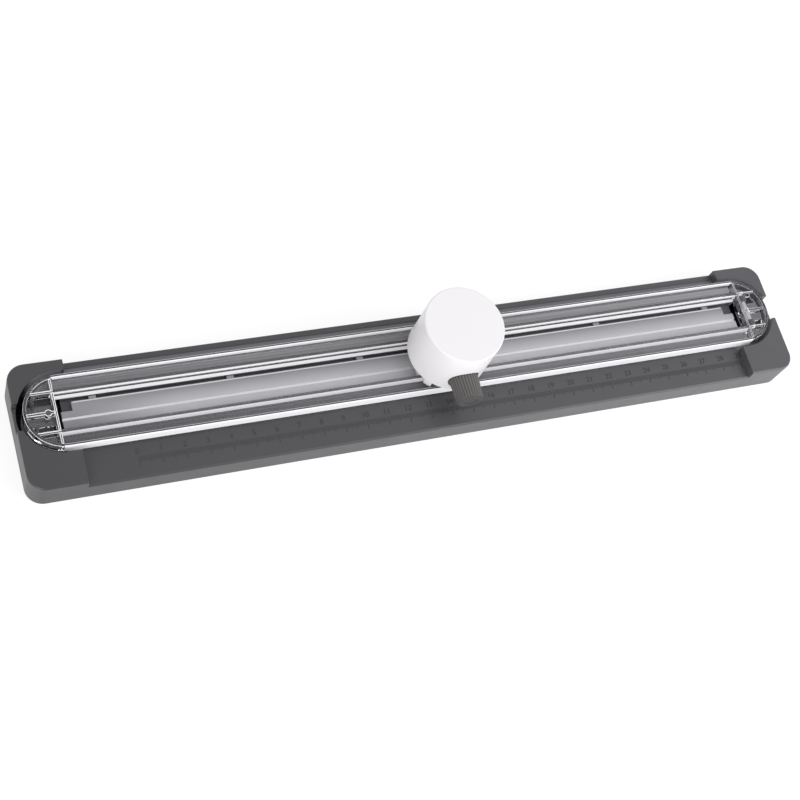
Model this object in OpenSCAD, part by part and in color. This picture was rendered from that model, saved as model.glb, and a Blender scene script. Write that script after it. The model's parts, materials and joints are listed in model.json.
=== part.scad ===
// Desk paper trimmer: a slim base, a clear rail hinged at one end, and a round
// press-down cutting head that slides along the rail. Millimetres, Z up.
// Origin: centre of the footprint, on the surface that the feet stand on.
// X runs along the rail, -Y is the front edge with the ruler.

/* [Base] */
// Length of the base along the rail
base_l = 361.2; // [340:0.2:380]
// Width of the base from front to back
base_w = 55.6; // [54:0.2:62]
// Height of the raised end pads above the desk
pad_z = 16.4; // [15.4:0.1:17]
// Height of the flat deck above the desk
deck_z = 11.9; // [11.4:0.1:12.6]
// Length of each raised end pad
pad_l = 23.6; // [21:0.2:28]
// Radius of the base's upright corners
corner_r = 7.5; // [4:0.1:9]
// Rounding along the base's top edges
edge_r = 0.9; // [0.4:0.1:1.4]
// Wall thickness of the base moulding
base_wall = 2; // [1.6:0.1:2.4]
// Thickness of the end wall outside the rail's recess
end_wall = 1.3; // [1:0.1:2]
// Width of the finger notch in each end wall
notch_w = 12; // [10:0.5:14]
// Depth of the shallow trough under the rail
trough_t = 0.5; // [0.3:0.1:0.8]
// How far the trough reaches in front of the rail
trough_lead = 1; // [0.4:0.1:2]
// Width of the full-height rim behind the trough
rim_w = 2.8; // [2:0.1:3.6]
// Height of the floor in the deep pocket under each end of the rail
pocket_z = 4; // [3.4:0.1:4.6]
// Thickness of the ribs under the base
rib_t = 1.2; // [0.8:0.1:1.6]
// Spacing of the cross ribs under the base
rib_pitch = 25; // [15:1:40]
// Depth of the ribs under the base
rib_d = 5.9; // [3:0.1:7]

/* [Feet] */
// Radius of a rubber foot
foot_r = 4.5; // [3.5:0.1:5.5]
// How far a foot stands out below the base
foot_proud = 0.6; // [0.3:0.1:1]
// Depth of the socket that holds a foot
foot_socket = 1.4; // [1:0.1:2]
// Distance of the outer feet from the ends of the base
foot_inset = 32.6; // [28:0.2:60]

/* [Rail] */
// Width of the clear rail
rail_w = 32; // [31:0.2:33]
// Offset of the rail's centreline behind the base's centreline
rail_y = 4.7; // [4:0.1:5.4]
// Gap round the rail in its recess
recess_gap = 2.2; // [1.8:0.1:2.6]
// Gap for paper between the deck and the rail
paper_gap = 0.3; // [0.2:0.05:0.6]
// Overall height of the rail's section
rail_h = 5.3; // [5:0.1:6]
// Thickness of the rail's flat floor
rail_floor_t = 0.9; // [0.8:0.05:1.1]
// Thickness of the rail's outer lips
outer_lip_t = 1.3; // [1:0.1:1.6]
// Thickness of the rail's inner lips
inner_lip_t = 1.4; // [1.1:0.1:1.7]
// Width between the inner lips, in which the carriage runs
slot_w = 16.4; // [16:0.1:17]
// How far the rail's floor stands out into the slot below the inner lips
slot_ledge_w = 1.2; // [0.8:0.1:1.3]
// Depth of the groove in each inner lip that holds the carriage's keepers
keeper_groove_d = 0.8; // [0.7:0.05:0.9]
// Distance from the rail's end to the end of its slot
slot_inset = 13.6; // [12.8:0.1:14]
// Thickness of the wall across each end of the slot
cross_wall_t = 1; // [0.8:0.1:1.1]
// Thickness of the stiffening rib in each rounded rail end
end_rib_t = 1.3; // [1:0.1:1.6]
// Radius of the small boss on that rib
end_boss_r = 1.5; // [1.2:0.1:2]

/* [Hinge] */
// Distance from the rail's right end to the hinge pin
hinge_inset = 10.1; // [9.9:0.1:10.3]
// Radius of the steel hinge pin
pin_r = 1.2; // [1:0.05:1.3]
// Radius of the rail's ears round the pin
ear_r = 2.6; // [2.4:0.05:2.6]
// Radius of the base's lugs round the pin
lug_r = 2; // [1.8:0.05:2.1]
// Thickness of each lug and each locating post
lug_t = 2.8; // [2:0.1:3]
// Thickness of the locating posts at the lift-up end
post_t = 1.6; // [1.2:0.1:2]

/* [Cutting mat] */
// Width of the cutting mat
mat_w = 13.7; // [13:0.1:14]
// Thickness of the cutting mat
mat_t = 1.6; // [1.3:0.1:1.8]
// Offset of the mat's centreline in front of the rail's centreline
mat_off = 1.45; // [1.2:0.05:1.7]
// Length of the step at each end of the mat's back edge
mat_step_l = 4.8; // [3:0.1:8]
// Width of the step at each end of the mat's back edge
mat_step_w = 4.1; // [2:0.1:6]
// Width of the groove that the blade edge runs in
cut_groove_w = 1; // [0.9:0.05:1.4]
// Depth of the groove that the blade edge runs in
cut_groove_d = 0.9; // [0.8:0.05:1.1]
// Length of the pips that centre the mat in its bed
pip_l = 1.3; // [1:0.1:1.6]
// Width of the pips
pip_w = 3; // [2:0.1:5]
// Number of pips along the mat's back edge
pip_n = 6; // [3:1:9]
// Distance of the outer pips from the ends of the mat's back edge
pip_inset = 9; // [4:0.5:20]

/* [Cutting head] */
// Position of the head along the rail in the photographed rest position
head_x = 7.9; // [-100:0.1:100]
// Radius of the round cap at its top
cap_r = 18; // [17.7:0.1:19]
// Extra radius of the cap at its bottom edge
cap_draft = 0.2; // [0.1:0.05:0.5]
// Gap between the blade guard and the cap's ceiling
cap_room = 1.1; // [0.6:0.1:3]
// Wall thickness of the cap
cap_wall = 1.8; // [1.4:0.1:2]
// Thickness of the cap's flat top
cap_top_t = 2; // [1.4:0.1:2.4]
// Rounding round the cap's top edge
cap_edge_r = 0.6; // [0.3:0.1:1]
// Gap between the rail's lips and the cap's bottom edge
cap_lift = 2.3; // [2.3:0.05:2.6]
// How far the four guide feet stand out below the cap
cap_foot_h = 3.6; // [2:0.1:4]
// Width of each guide foot
cap_foot_w = 3.6; // [2:0.1:3.8]
// How far the cap presses down
press_travel = 2; // [1.6:0.1:2]
// Offset of the blade in front of the rail's centreline
cut_off = 2.2; // [2:0.05:2.4]
// How far the pressed blade reaches into the mat
cut_depth = 0.4; // [0.2:0.05:0.5]

/* [Blade] */
// Thickness of the blade
blade_t = 0.4; // [0.3:0.05:0.5]
// Width of the ground bevel round the blade's edge
bevel_w = 1.2; // [0.6:0.1:2]
// Radius of the hole in the blade
blade_hole_r = 4; // [3.5:0.1:4.5]
// Radius of the hub's flanges
flange_r = 6; // [5.5:0.1:7]
// Thickness of the hub's flanges
flange_t = 0.45; // [0.4:0.05:0.6]
// Radius of the blade's axle
axle_r = 1.5; // [1.2:0.05:1.7]
// Radius of the axle's head
axle_head_r = 2.6; // [2.2:0.1:3]
// Thickness of the axle's head
axle_head_t = 0.8; // [0.6:0.1:1]
// Thickness of each cheek of the blade guard
cheek_t = 1.5; // [1.2:0.1:1.6]
// Gap between the blade's edge and the guard's rim
guard_gap = 0.4; // [0.35:0.05:0.5]
// Thickness of the guard's rim
guard_rim = 1; // [0.8:0.1:1]
// Gap between the guard's corners and the cap's wall
guard_side_gap = 0.12; // [0.1:0.02:0.6]
// Gap between the runner's plate and the guard with the cap pressed
guard_lift = 0.65; // [0.4:0.05:1]

/* [Release knob] */
// Gap between the rail's lips and the ribbed grip with the cap pressed
grip_lift = 1.5; // [1.2:0.1:1.8]
// How much slimmer the grip is at its outer end
grip_taper = 0.7; // [0.4:0.1:1]
// Distance of the grip's outer end from the cap's axis
grip_reach = 28.2; // [27:0.1:29.4]
// Number of ribs round the grip
grip_ribs = 30; // [18:1:36]
// Radius of the valleys between the grip's ribs
grip_valley_r = 0.4; // [0.25:0.05:0.45]
// Depth of the dish in the grip's end face
dish_d = 0.3; // [0.1:0.1:0.6]
// Radius of the knob's stem as a share of the grip's radius
stem_share = 0.62; // [0.55:0.01:0.64]
// Length of the boss that the stem turns in
stem_boss_l = 3.85; // [3:0.05:4.4]
// Wall thickness of that boss
stem_boss_wall = 1.5; // [1.2:0.1:2]

/* [Carriage] */
// Thickness of the runner's round top plate
plate_t = 1.6; // [1.4:0.1:1.7]
// Length of wall left at each end of the blade window
runner_end_wall = 1.5; // [1.4:0.1:2]
// Thickness of the two keeper plates in the rail's grooves
keeper_t = 0.8; // [0.7:0.05:0.9]
// Gap between the cap's sleeves round the guide posts and its wall
post_gap = 0.84; // [0.5:0.02:1.2]
// Distance of the guide posts behind the cap's axis
post_y = 5; // [4.7:0.1:5.2]
// Radius of the guide posts
post_r = 1.8; // [1.7:0.05:1.9]
// Height of the guide posts above the plate
post_h = 10.6; // [10:0.1:11]
// Outer radius of the cap's sleeves round the guide posts
sleeve_r = 3; // [2.9:0.05:3.2]
// Overlap of sleeve and guide post with the cap up
sleeve_over = 3; // [2.5:0.1:4]
// Wire radius of the press springs
wire_r = 0.3; // [0.2:0.05:0.35]
// Middle radius of the press springs' coils
coil_r = 2.45; // [2.4:0.05:2.6]
// Number of turns in a press spring
coil_n = 6; // [4:1:8]

/* [Screws] */
// Radius of the screws that hold the cap down
cap_screw_r = 0.8; // [0.7:0.05:0.9]
// Head radius of those screws
cap_screw_head_r = 1.8; // [1.6:0.05:1.9]
// Head thickness of those screws
cap_screw_head_t = 1.1; // [0.8:0.1:1.2]
// Radius of the small countersunk screws
small_screw_r = 0.6; // [0.5:0.05:0.7]
// Head radius of the small screws
small_head_r = 1.2; // [1.05:0.05:1.3]

/* [Hidden] */

$fn = 72;
// Facets of small round features
small_fn = 32;
// Overrun of every cut past the face that it opens
over = 1;
// Clearance between pieces that move past each other
move_gap = 0.3;
// Play of the runner on top of the rail's lips
slide_gap = 0.25;
// Radial clearance of a turning shaft
turn_gap = 0.05;
// Radial clearance of a piece fixed in its hole
fixed_gap = 0.02;
// Side clearance of the mat in its bed
mat_gap = 0.2;
// End clearance of the mat in its bed
mat_end_gap = 0.7;

// Rail levels and the centres of its rounded ends
rail_l = base_l - 2 * (end_wall + recess_gap);
rail_end_r = rail_w / 2;
end_cx = rail_l / 2 - rail_end_r;
rail_z = deck_z + paper_gap;
rail_top = rail_z + rail_h;
slot_half = rail_l / 2 - slot_inset;
slot_open_w = slot_w - 2 * slot_ledge_w;
groove_w = slot_w + 2 * keeper_groove_d;
groove_z = rail_z + rail_floor_t;
lip_in_r = rail_end_r - outer_lip_t;
lip_mid_r = rail_end_r - outer_lip_t / 2;
ear_in = slot_w / 2;
ear_out = ear_in + inner_lip_t;
ear_x = end_cx + sqrt(pow(lip_mid_r, 2) - pow(ear_out, 2));

// Base levels and outlines
pad_x = base_l / 2 - pad_l;
recess_r = rail_end_r + recess_gap;
trough_z = deck_z - trough_t;
trough_front = rail_y - rail_end_r - trough_lead;
trough_back = base_w / 2 - rim_w;
bed_half = slot_half - 1.5 * cross_wall_t;
mat_cy = rail_y - mat_off;
bed_front = mat_cy - mat_w / 2 - mat_gap;
bed_back = mat_cy + mat_w / 2 + pip_l + mat_gap;
bed_z = deck_z - mat_t;
under_z = deck_z - base_wall;
bed_under_z = bed_z - base_wall;
foot_boss_r = foot_r + base_wall - fixed_gap;
foot_x = base_l / 2 - foot_inset;
foot_y = base_w / 2 - base_wall - foot_boss_r + rib_t / 2;

// Hinge
hinge_x = rail_l / 2 - hinge_inset;
hinge_z = rail_z + rail_h / 2;
lug_out = ear_in - 1.5 * move_gap;
lug_in = lug_out - lug_t;
lug_foot_z = pocket_z - base_wall / 2;

// Blade guard, as large as the cap holds, seen from above
cap_in_r = cap_r - cap_wall;
blade_y = rail_y - cut_off;
guard_half = blade_t / 2 + flange_t + move_gap;
front_face = blade_y - guard_half - cheek_t;
back_face = blade_y + guard_half + cheek_t;
guard_r = sqrt(pow(cap_in_r, 2) - pow(rail_y - front_face, 2)) - guard_side_gap;
blade_r = guard_r - guard_rim - guard_gap;
cheek_boss_r = 1.6 * small_head_r;
cheek_boss_at = blade_r + guard_gap + guard_rim / 2;
cheek_screw_angles = [40, 140];

// Head levels: the blade's edge stops above the paper and reaches the mat when pressed
plate_z = rail_top + slide_gap;
plate_top = plate_z + plate_t;
blade_z = deck_z + press_travel - cut_depth + blade_r;
guard_z = plate_top + press_travel + guard_lift;
guard_drop = blade_z - guard_z;
cap_z = rail_top + cap_lift;
ceiling_z = blade_z + guard_r + cap_room;
cap_top = ceiling_z + cap_top_t;
cap_h = cap_top - cap_z;
cap_foot_angle = asin((ear_out + lip_in_r) / (cap_r + cap_in_r));

// Release knob
grip_r = blade_z - press_travel - rail_top - grip_lift;
grip_tip_r = grip_r - grip_taper;
stem_r = grip_r * stem_share;
hole_r = grip_r + 1.5 * move_gap;
grip_y = rail_y - grip_reach;
stem_boss_y = front_face - stem_boss_l;
neck_r = stem_r + turn_gap + stem_boss_wall;
neck_y = stem_boss_y - move_gap;
stem_end_y = blade_y - guard_half;

// Runner
plate_r = cap_in_r - 2 * move_gap;
grip_back_y = rail_y - plate_r - move_gap;
window_half = sqrt(pow(blade_r, 2) - pow(blade_z - press_travel - plate_top, 2)) + 1.5 * move_gap;
window_w = blade_t + 4 * move_gap;
block_half = window_half + runner_end_wall;
block_w = slot_w - 2 * move_gap;
keeper_z = groove_z + move_gap;
keeper_w = groove_w - 2 * move_gap;
post_x = sqrt(pow(cap_in_r - post_gap - sleeve_r, 2) - pow(post_y, 2));
post_top = plate_top + post_h;
sleeve_z = post_top - sleeve_over;
sleeve_end_z = post_top + press_travel + move_gap;
screw_seat_z = plate_z - cap_screw_head_t / 2;
cap_screw_z = screw_seat_z - turn_gap - cap_screw_head_t;
keeper_screw_x = window_half - small_head_r / 2;
keeper_screw_dy = window_w / 2 + small_head_r + move_gap;

// Rings along one turn of a press spring, and sides of its wire
coil_rings = 8;
coil_sides = 6;
coil_z = plate_top + wire_r;
coil_rise = (sleeve_z - plate_top - 2 * wire_r) / coil_n;

// Rectangle with its two upper corners rounded
module rounded_top(w, h, f) {
    translate([-w / 2, 0]) square([w, h - f]);
    translate([f - w / 2, 0]) square([w - 2 * f, h]);
    for (s = [-1, 1]) translate([s * (w / 2 - f), h - f]) circle(f, $fn = small_fn);
}

// Slab with round upright corners and a rolled top edge
module rolled_slab(l, w, z0, z1, r, f) {
    h = z1 - z0;
    for (sx = [-1, 1], sy = [-1, 1])
        translate([sx * (l / 2 - r), sy * (w / 2 - r), z0])
            rotate_extrude() {
                square([r, h - f]);
                square([r - f, h]);
                translate([r - f, h - f]) circle(f, $fn = small_fn);
            }
    translate([r - l / 2, 0, z0]) rotate([90, 0, 90])
        linear_extrude(l - 2 * r) rounded_top(w, h, f);
    translate([0, w / 2 - r, z0]) rotate([90, 0, 0])
        linear_extrude(w - 2 * r) rounded_top(l, h, f);
}

// Flat rectangle with round corners
module round_rect(l, w, r) {
    square([l - 2 * r, w], center = true);
    square([l, w - 2 * r], center = true);
    for (sx = [-1, 1], sy = [-1, 1]) translate([sx * (l / 2 - r), sy * (w / 2 - r)]) circle(r);
}

// Box given by its lowest and highest corners
module span(a, b) {
    translate(a) cube(b - a);
}

// Cylinder along Y from y0 to y1 through the blade's axis
module spindle(r0, y0, y1, r1) {
    translate([head_x, y1, blade_z]) rotate([90, 0, 0]) cylinder(h = y1 - y0, r1 = r1, r2 = r0);
}

// Screw along Z: countersunk head down, tip up
module small_screw(z0, z1) {
    translate([0, 0, z0]) cylinder(h = small_head_r - small_screw_r, r1 = small_head_r, r2 = small_screw_r);
    translate([0, 0, z0]) cylinder(h = z1 - z0, r = small_screw_r);
}

// Places a box whose near edge is x0 from the middle of the rail, at end s
module end_box(s, x0, l, w, z0, z1) {
    translate([s > 0 ? x0 : -x0 - l, rail_y - w / 2, z0]) cube([l, w, z1 - z0]);
}

// Rounded recess for one end of the rail, from x0 outwards and grown by a wall
module recess(s, x0, grow, z0, z1) {
    r = recess_r + grow;
    intersection() {
        union() {
            translate([s * end_cx, rail_y, z0]) cylinder(h = z1 - z0, r = r);
            end_box(s, pad_x, end_cx - pad_x, 2 * r, z0, z1);
        }
        end_box(s, x0 - grow, base_l / 2 - x0 + grow, 2 * base_w, z0, z1);
    }
}

// Foot positions: a row along each long side
module at_feet() {
    for (x = [-foot_x, 0, foot_x], y = [-foot_y, foot_y]) translate([x, y, 0]) children();
}

// Raised pads and deck, before anything is cut
module base_block() {
    rolled_slab(base_l, base_w, foot_proud, deck_z, corner_r, edge_r);
    intersection() {
        rolled_slab(base_l, base_w, foot_proud, pad_z, corner_r, edge_r);
        for (s = [-1, 1])
            translate([s * (pad_x + pad_l / 2), 0, pad_z / 2]) cube([pad_l, base_w, pad_z], center = true);
    }
}

// Everything hollow on the underside, with the walls that stay in it
module underside() {
    inset = 2 * base_wall;
    inner_r = corner_r - base_wall;
    difference() {
        union() {
            translate([0, 0, foot_proud - over]) linear_extrude(under_z - foot_proud + over)
                round_rect(base_l - inset, base_w - inset, inner_r);
            intersection() {
                translate([0, 0, foot_proud]) linear_extrude(pad_z - base_wall - foot_proud)
                    round_rect(base_l - inset, base_w - inset, inner_r);
                for (s = [-1, 1])
                    translate([s * (pad_x + base_wall + pad_l / 2), 0, pad_z / 2])
                        cube([pad_l, base_w, pad_z], center = true);
            }
        }
        for (s = [-1, 1]) {
            recess(s, bed_half, base_wall, pocket_z - base_wall, pad_z);
            recess(s, pad_x, base_wall, under_z, pad_z);
        }
        span([-bed_half - base_wall, bed_front - base_wall, bed_under_z],
             [bed_half + base_wall, bed_back + base_wall, deck_z]);
        for (y = [bed_front - base_wall, bed_back + base_wall - rib_t])
            span([-bed_half, y, under_z - rib_d], [bed_half, y + rib_t, deck_z]);
        for (x = [rib_pitch / 2 : rib_pitch : bed_half - base_wall], s = [-1, 1])
            translate([s * x - rib_t / 2, -base_w / 2, under_z - rib_d]) cube([rib_t, base_w, deck_z]);
        at_feet() cylinder(h = deck_z, r = foot_boss_r);
    }
}

// Pair of upright lugs that carry the hinge pin
module hinge_lugs() {
    for (s = [-1, 1])
        translate([hinge_x, rail_y + s * (lug_in + lug_t / 2), 0]) rotate([90, 0, 0])
            linear_extrude(lug_t, center = true) {
                translate([0, hinge_z]) circle(lug_r);
                translate([-lug_r, lug_foot_z]) square([2 * lug_r, hinge_z - lug_foot_z]);
            }
}

// Pair of springy posts that locate the rail's free end
module locating_posts() {
    outer = -(end_cx + sqrt(pow(lip_in_r, 2) - pow(lug_out, 2)) - move_gap);
    for (s = [-1, 1])
        translate([outer, rail_y + s * (lug_in + lug_t / 2), 0]) rotate([90, 0, 0])
            linear_extrude(lug_t, center = true) {
                translate([0, lug_foot_z]) square([post_t, hinge_z - lug_foot_z]);
                translate([post_t / 2, hinge_z]) circle(post_t / 2);
            }
}

module base_housing() {
    color("dimgray") difference() {
        union() {
            difference() {
                base_block();
                underside();
                span([-pad_x, trough_front, trough_z], [pad_x, trough_back, pad_z + over]);
                for (s = [-1, 1]) {
                    recess(s, pad_x, 0, trough_z, pad_z + over);
                    recess(s, bed_half, 0, pocket_z, pad_z + over);
                }
                span([-bed_half - over, bed_front, bed_z], [bed_half + over, bed_back, pad_z]);
            }
            hinge_lugs();
            locating_posts();
        }
        // Finger notch in each end wall
        for (x = [rail_l / 2, -rail_l])
            translate([x, rail_y - notch_w / 2, deck_z]) cube([rail_l / 2, notch_w, pad_z]);
        translate([hinge_x, rail_y, hinge_z]) rotate([90, 0, 0])
            cylinder(h = 2 * ear_out, r = pin_r + fixed_gap, center = true);
        at_feet() translate([0, 0, foot_proud - over])
            cylinder(h = foot_socket + over, r = foot_r + fixed_gap);
    }
}

module rubber_feet() {
    color("black") at_feet()
        rotate_extrude() {
            square([foot_r - foot_proud / 2, foot_socket + foot_proud]);
            translate([0, foot_proud / 2]) square([foot_r, foot_socket + foot_proud / 2]);
        }
}

module hinge_pin() {
    color("silver") translate([hinge_x, rail_y, hinge_z]) rotate([90, 0, 0])
        cylinder(h = 2 * ear_out, r = pin_r, center = true);
}

module cutting_mat() {
    half = bed_half - mat_end_gap;
    pip_pitch = 2 * (half - mat_step_l - pip_inset) / (pip_n - 1);
    color([0.72, 0.73, 0.75]) difference() {
        translate([0, mat_cy, bed_z]) linear_extrude(mat_t) {
            translate([-half, -mat_w / 2]) square([2 * half, mat_w - mat_step_w]);
            translate([mat_step_l - half, -mat_w / 2]) square([2 * (half - mat_step_l), mat_w]);
            for (i = [0 : pip_n - 1])
                translate([(i - (pip_n - 1) / 2) * pip_pitch - pip_w / 2, 0])
                    square([pip_w, mat_w / 2 + pip_l]);
        }
        span([-base_l / 2, blade_y - cut_groove_w / 2, deck_z - cut_groove_d],
             [base_l / 2, blade_y + cut_groove_w / 2, deck_z + over]);
    }
}

// A lip of the rail's section, with a full round top
module rounded_lip(t) {
    square([t, rail_h - t / 2]);
    translate([t / 2, rail_h - t / 2]) circle(t / 2, $fn = small_fn);
}

// Section of one side of the rail, outer edge at x = 0, growing inwards
module rail_half_section() {
    square([rail_end_r - slot_open_w / 2, rail_floor_t]);
    rounded_lip(outer_lip_t);
    translate([rail_end_r - ear_out, 0]) rounded_lip(inner_lip_t);
}

// Both inner lips over their whole length
module inner_lips() {
    for (t = [-1, 1])
        translate([-ear_x, rail_y + t * (ear_in + inner_lip_t / 2) - inner_lip_t / 2, rail_z])
            rotate([90, 0, 90]) linear_extrude(2 * ear_x) rounded_lip(inner_lip_t);
}

// Rounded end of the rail: floor, outer lip, cross wall and ribs
module rail_end(s) {
    wall_x = slot_half + cross_wall_t;
    difference() {
        intersection() {
            translate([s * end_cx, rail_y, rail_z]) rotate_extrude() {
                square([lip_mid_r, rail_floor_t]);
                translate([lip_in_r, 0]) rounded_lip(outer_lip_t);
            }
            end_box(s, end_cx, rail_end_r + over, base_w, rail_z, rail_top + over);
        }
        // The end of the slot
        end_box(s, end_cx - over, slot_half - end_cx + over, slot_open_w, 0, rail_top + over);
        // Floor windows for the lugs or posts of the base
        intersection() {
            translate([s * end_cx, rail_y, 0]) cylinder(h = rail_top, r = lip_in_r);
            difference() {
                end_box(s, wall_x, rail_end_r, 2 * ear_in, 0, rail_top);
                end_box(s, wall_x, rail_end_r, 2 * (lug_in - move_gap), 0, rail_top);
            }
        }
    }
    end_box(s, slot_half, cross_wall_t, 2 * lip_in_r, rail_z, rail_top - cross_wall_t / 2);
    end_box(s, slot_half, end_cx + lip_mid_r - slot_half, end_rib_t, rail_z, rail_top - outer_lip_t);
    translate([s * hinge_x, rail_y, rail_z])
        cylinder(h = rail_h - outer_lip_t, r = end_boss_r, $fn = small_fn);
}

module clear_rail() {
    color([0.85, 0.87, 0.9, 0.4]) difference() {
        union() {
            for (s = [0, 1])
                translate([-end_cx, rail_y, rail_z]) rotate([90, 0, 90]) linear_extrude(2 * end_cx)
                    mirror([s, 0]) translate([-rail_end_r, 0]) rail_half_section();
            inner_lips();
            for (s = [-1, 1]) rail_end(s);
            for (t = [-1, 1])
                translate([hinge_x, rail_y + t * (ear_in + inner_lip_t / 2), hinge_z]) rotate([90, 0, 0])
                    cylinder(h = inner_lip_t, r = ear_r, center = true);
        }
        translate([hinge_x, rail_y, hinge_z]) rotate([90, 0, 0])
            cylinder(h = 2 * (ear_out + move_gap), r = pin_r + turn_gap, center = true);
        // Groove in both inner lips for the keepers
        span([-slot_half, rail_y - groove_w / 2, groove_z],
             [slot_half, rail_y + groove_w / 2, keeper_z + keeper_t + move_gap]);
    }
}

// Positions of the two guide posts, in plan
module at_posts() {
    for (s = [-1, 1]) translate([head_x + s * post_x, rail_y + post_y, 0]) children();
}

module at_keeper_screws() {
    for (s = [-1, 1], t = [-1, 1])
        translate([head_x + s * keeper_screw_x, blade_y + t * keeper_screw_dy, 0]) children();
}

// Window for the blade, through the runner
module blade_window() {
    span([head_x - window_half, blade_y - window_w / 2, keeper_z - over],
         [head_x + window_half, blade_y + window_w / 2, plate_top + over]);
}

module carriage_runner() {
    color("white") difference() {
        union() {
            translate([head_x, rail_y, plate_z]) cylinder(h = plate_t, r = plate_r);
            intersection() {
                translate([head_x, rail_y, keeper_z]) cylinder(h = plate_top - keeper_z, r = plate_r);
                translate([head_x - block_half, rail_y - block_w / 2, keeper_z + keeper_t])
                    cube([2 * block_half, block_w, plate_z - keeper_z]);
            }
            at_posts() translate([0, 0, plate_z])
                cylinder(h = post_top - plate_z, r = post_r, $fn = small_fn);
        }
        blade_window();
        at_posts() {
            cylinder(h = post_top + over, r = cap_screw_r + move_gap, $fn = small_fn);
            cylinder(h = screw_seat_z, r = cap_screw_head_r + move_gap);
        }
        at_keeper_screws() cylinder(h = plate_z, r = small_screw_r, $fn = small_fn);
    }
}

// Keeper plate in front of the blade (t = -1) or behind it (t = 1), under the lip on that side
module keeper_plate(t) {
    inner_y = blade_y + t * window_w / 2;
    outer_y = rail_y + t * keeper_w / 2;
    color("gainsboro") difference() {
        span([head_x - block_half, min(inner_y, outer_y), keeper_z],
             [head_x + block_half, max(inner_y, outer_y), keeper_z + keeper_t]);
        at_posts() cylinder(h = plate_z, r = cap_screw_head_r + move_gap);
        at_keeper_screws() small_screw(keeper_z, plate_z);
    }
}

module front_keeper() {
    keeper_plate(-1);
}

module back_keeper() {
    keeper_plate(1);
}

module keeper_screws() {
    color("silver") at_keeper_screws() small_screw(keeper_z, plate_z);
}

// Point on the wire's middle line, i rings from the lower end of a press spring
function coil_point(i) = let (a = 360 * i / coil_rings)
    [coil_r * cos(a), coil_r * sin(a), coil_z + coil_rise * i / coil_rings];

// A press spring: wire swept along a helix between plate and sleeve
module press_spring(s) {
    n = coil_n * coil_rings;
    pts = [for (i = [0 : n], j = [0 : coil_sides - 1])
        let (a = 360 * i / coil_rings, b = 360 * j / coil_sides)
        coil_point(i) + wire_r * [cos(b) * cos(a), cos(b) * sin(a), sin(b)]];
    skin = [for (i = [0 : n - 1], j = [0 : coil_sides - 1])
        let (k = (j + 1) % coil_sides, p = i * coil_sides, q = p + coil_sides)
        each [[p + j, q + j, q + k], [p + j, q + k, p + k]]];
    lower_end = [for (j = [0 : coil_sides - 1]) j];
    upper_end = [for (j = [coil_sides - 1 : -1 : 0]) n * coil_sides + j];
    steps = [for (i = [0 : n - coil_rings]) norm(coil_point(i + coil_rings) - coil_point(i))];
    echo("press spring, least gap between turns in mm", min(steps) - 2 * wire_r);
    color("silver") translate([head_x + s * post_x, rail_y + post_y, 0])
        polyhedron(pts, concat(skin, [lower_end, upper_end]));
}

module press_spring_left() {
    press_spring(-1);
}

module press_spring_right() {
    press_spring(1);
}

// Ribs inside the cap that hold the blade guard upright
module guard_guides() {
    x0 = guard_r * 0.75;
    intersection() {
        translate([head_x, rail_y, guard_z]) cylinder(h = ceiling_z - guard_z, r = cap_in_r + cap_wall / 2);
        for (s = [-1, 1], y = [front_face - rib_t - fixed_gap, back_face + fixed_gap])
            translate([s > 0 ? head_x + x0 : head_x - cap_r, y, 0]) cube([cap_r - x0, rib_t, cap_top]);
    }
}

// Feet under the cap's edge that ride in the rail's channels and keep the head square
module cap_feet() {
    intersection() {
        translate([head_x, rail_y, cap_z - cap_foot_h]) difference() {
            cylinder(h = cap_foot_h + cap_wall, r = cap_r);
            translate([0, 0, -over]) cylinder(h = cap_foot_h + cap_wall + 2 * over, r = cap_in_r);
        }
        for (a = [cap_foot_angle, 180 - cap_foot_angle, 180 + cap_foot_angle, -cap_foot_angle])
            translate([head_x, rail_y, 0]) rotate([0, 0, a])
                translate([0, -cap_foot_w / 2, 0]) cube([cap_r + over, cap_foot_w, cap_top]);
    }
}

module knob_cap() {
    edge_z = cap_h - cap_edge_r;
    color("white") difference() {
        union() {
            translate([head_x, rail_y, cap_z]) rotate_extrude($fn = 144) difference() {
                union() {
                    polygon([[0, 0], [cap_r + cap_draft, 0], [cap_r, edge_z], [0, edge_z]]);
                    square([cap_r - cap_edge_r, cap_h]);
                    translate([cap_r - cap_edge_r, edge_z]) circle(cap_edge_r, $fn = small_fn);
                }
                translate([0, -over]) square([cap_in_r, cap_h - cap_top_t + over]);
            }
            at_posts() translate([0, 0, sleeve_z])
                cylinder(h = ceiling_z + cap_top_t / 2 - sleeve_z, r = sleeve_r);
            cap_feet();
            guard_guides();
            // Pad that presses on top of the blade guard
            span([head_x - sleeve_r, front_face, blade_z + guard_r + fixed_gap],
                 [head_x + sleeve_r, back_face, ceiling_z + cap_top_t / 2]);
        }
        at_posts() {
            translate([0, 0, sleeve_z - over])
                cylinder(h = sleeve_end_z - sleeve_z + over, r = post_r + turn_gap);
            translate([0, 0, sleeve_z]) cylinder(h = ceiling_z - sleeve_z, r = cap_screw_r, $fn = small_fn);
        }
        // Round opening for the release knob
        spindle(hole_r, rail_y - 2 * cap_r, rail_y - cap_in_r / 2, hole_r);
    }
}

module cap_screws() {
    color("silver") at_posts() {
        translate([0, 0, cap_screw_z]) cylinder(h = cap_screw_head_t, r = cap_screw_head_r);
        translate([0, 0, cap_screw_z])
            cylinder(h = ceiling_z - screw_seat_z, r = cap_screw_r, $fn = small_fn);
    }
}

// Outline of a guard cheek, seen along the axle, with its flat lower edge
module cheek_outline(r) {
    difference() {
        circle(r);
        translate([-guard_r - over, -guard_r - over])
            square([2 * (guard_r + over), guard_r + over - guard_drop]);
    }
}

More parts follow.
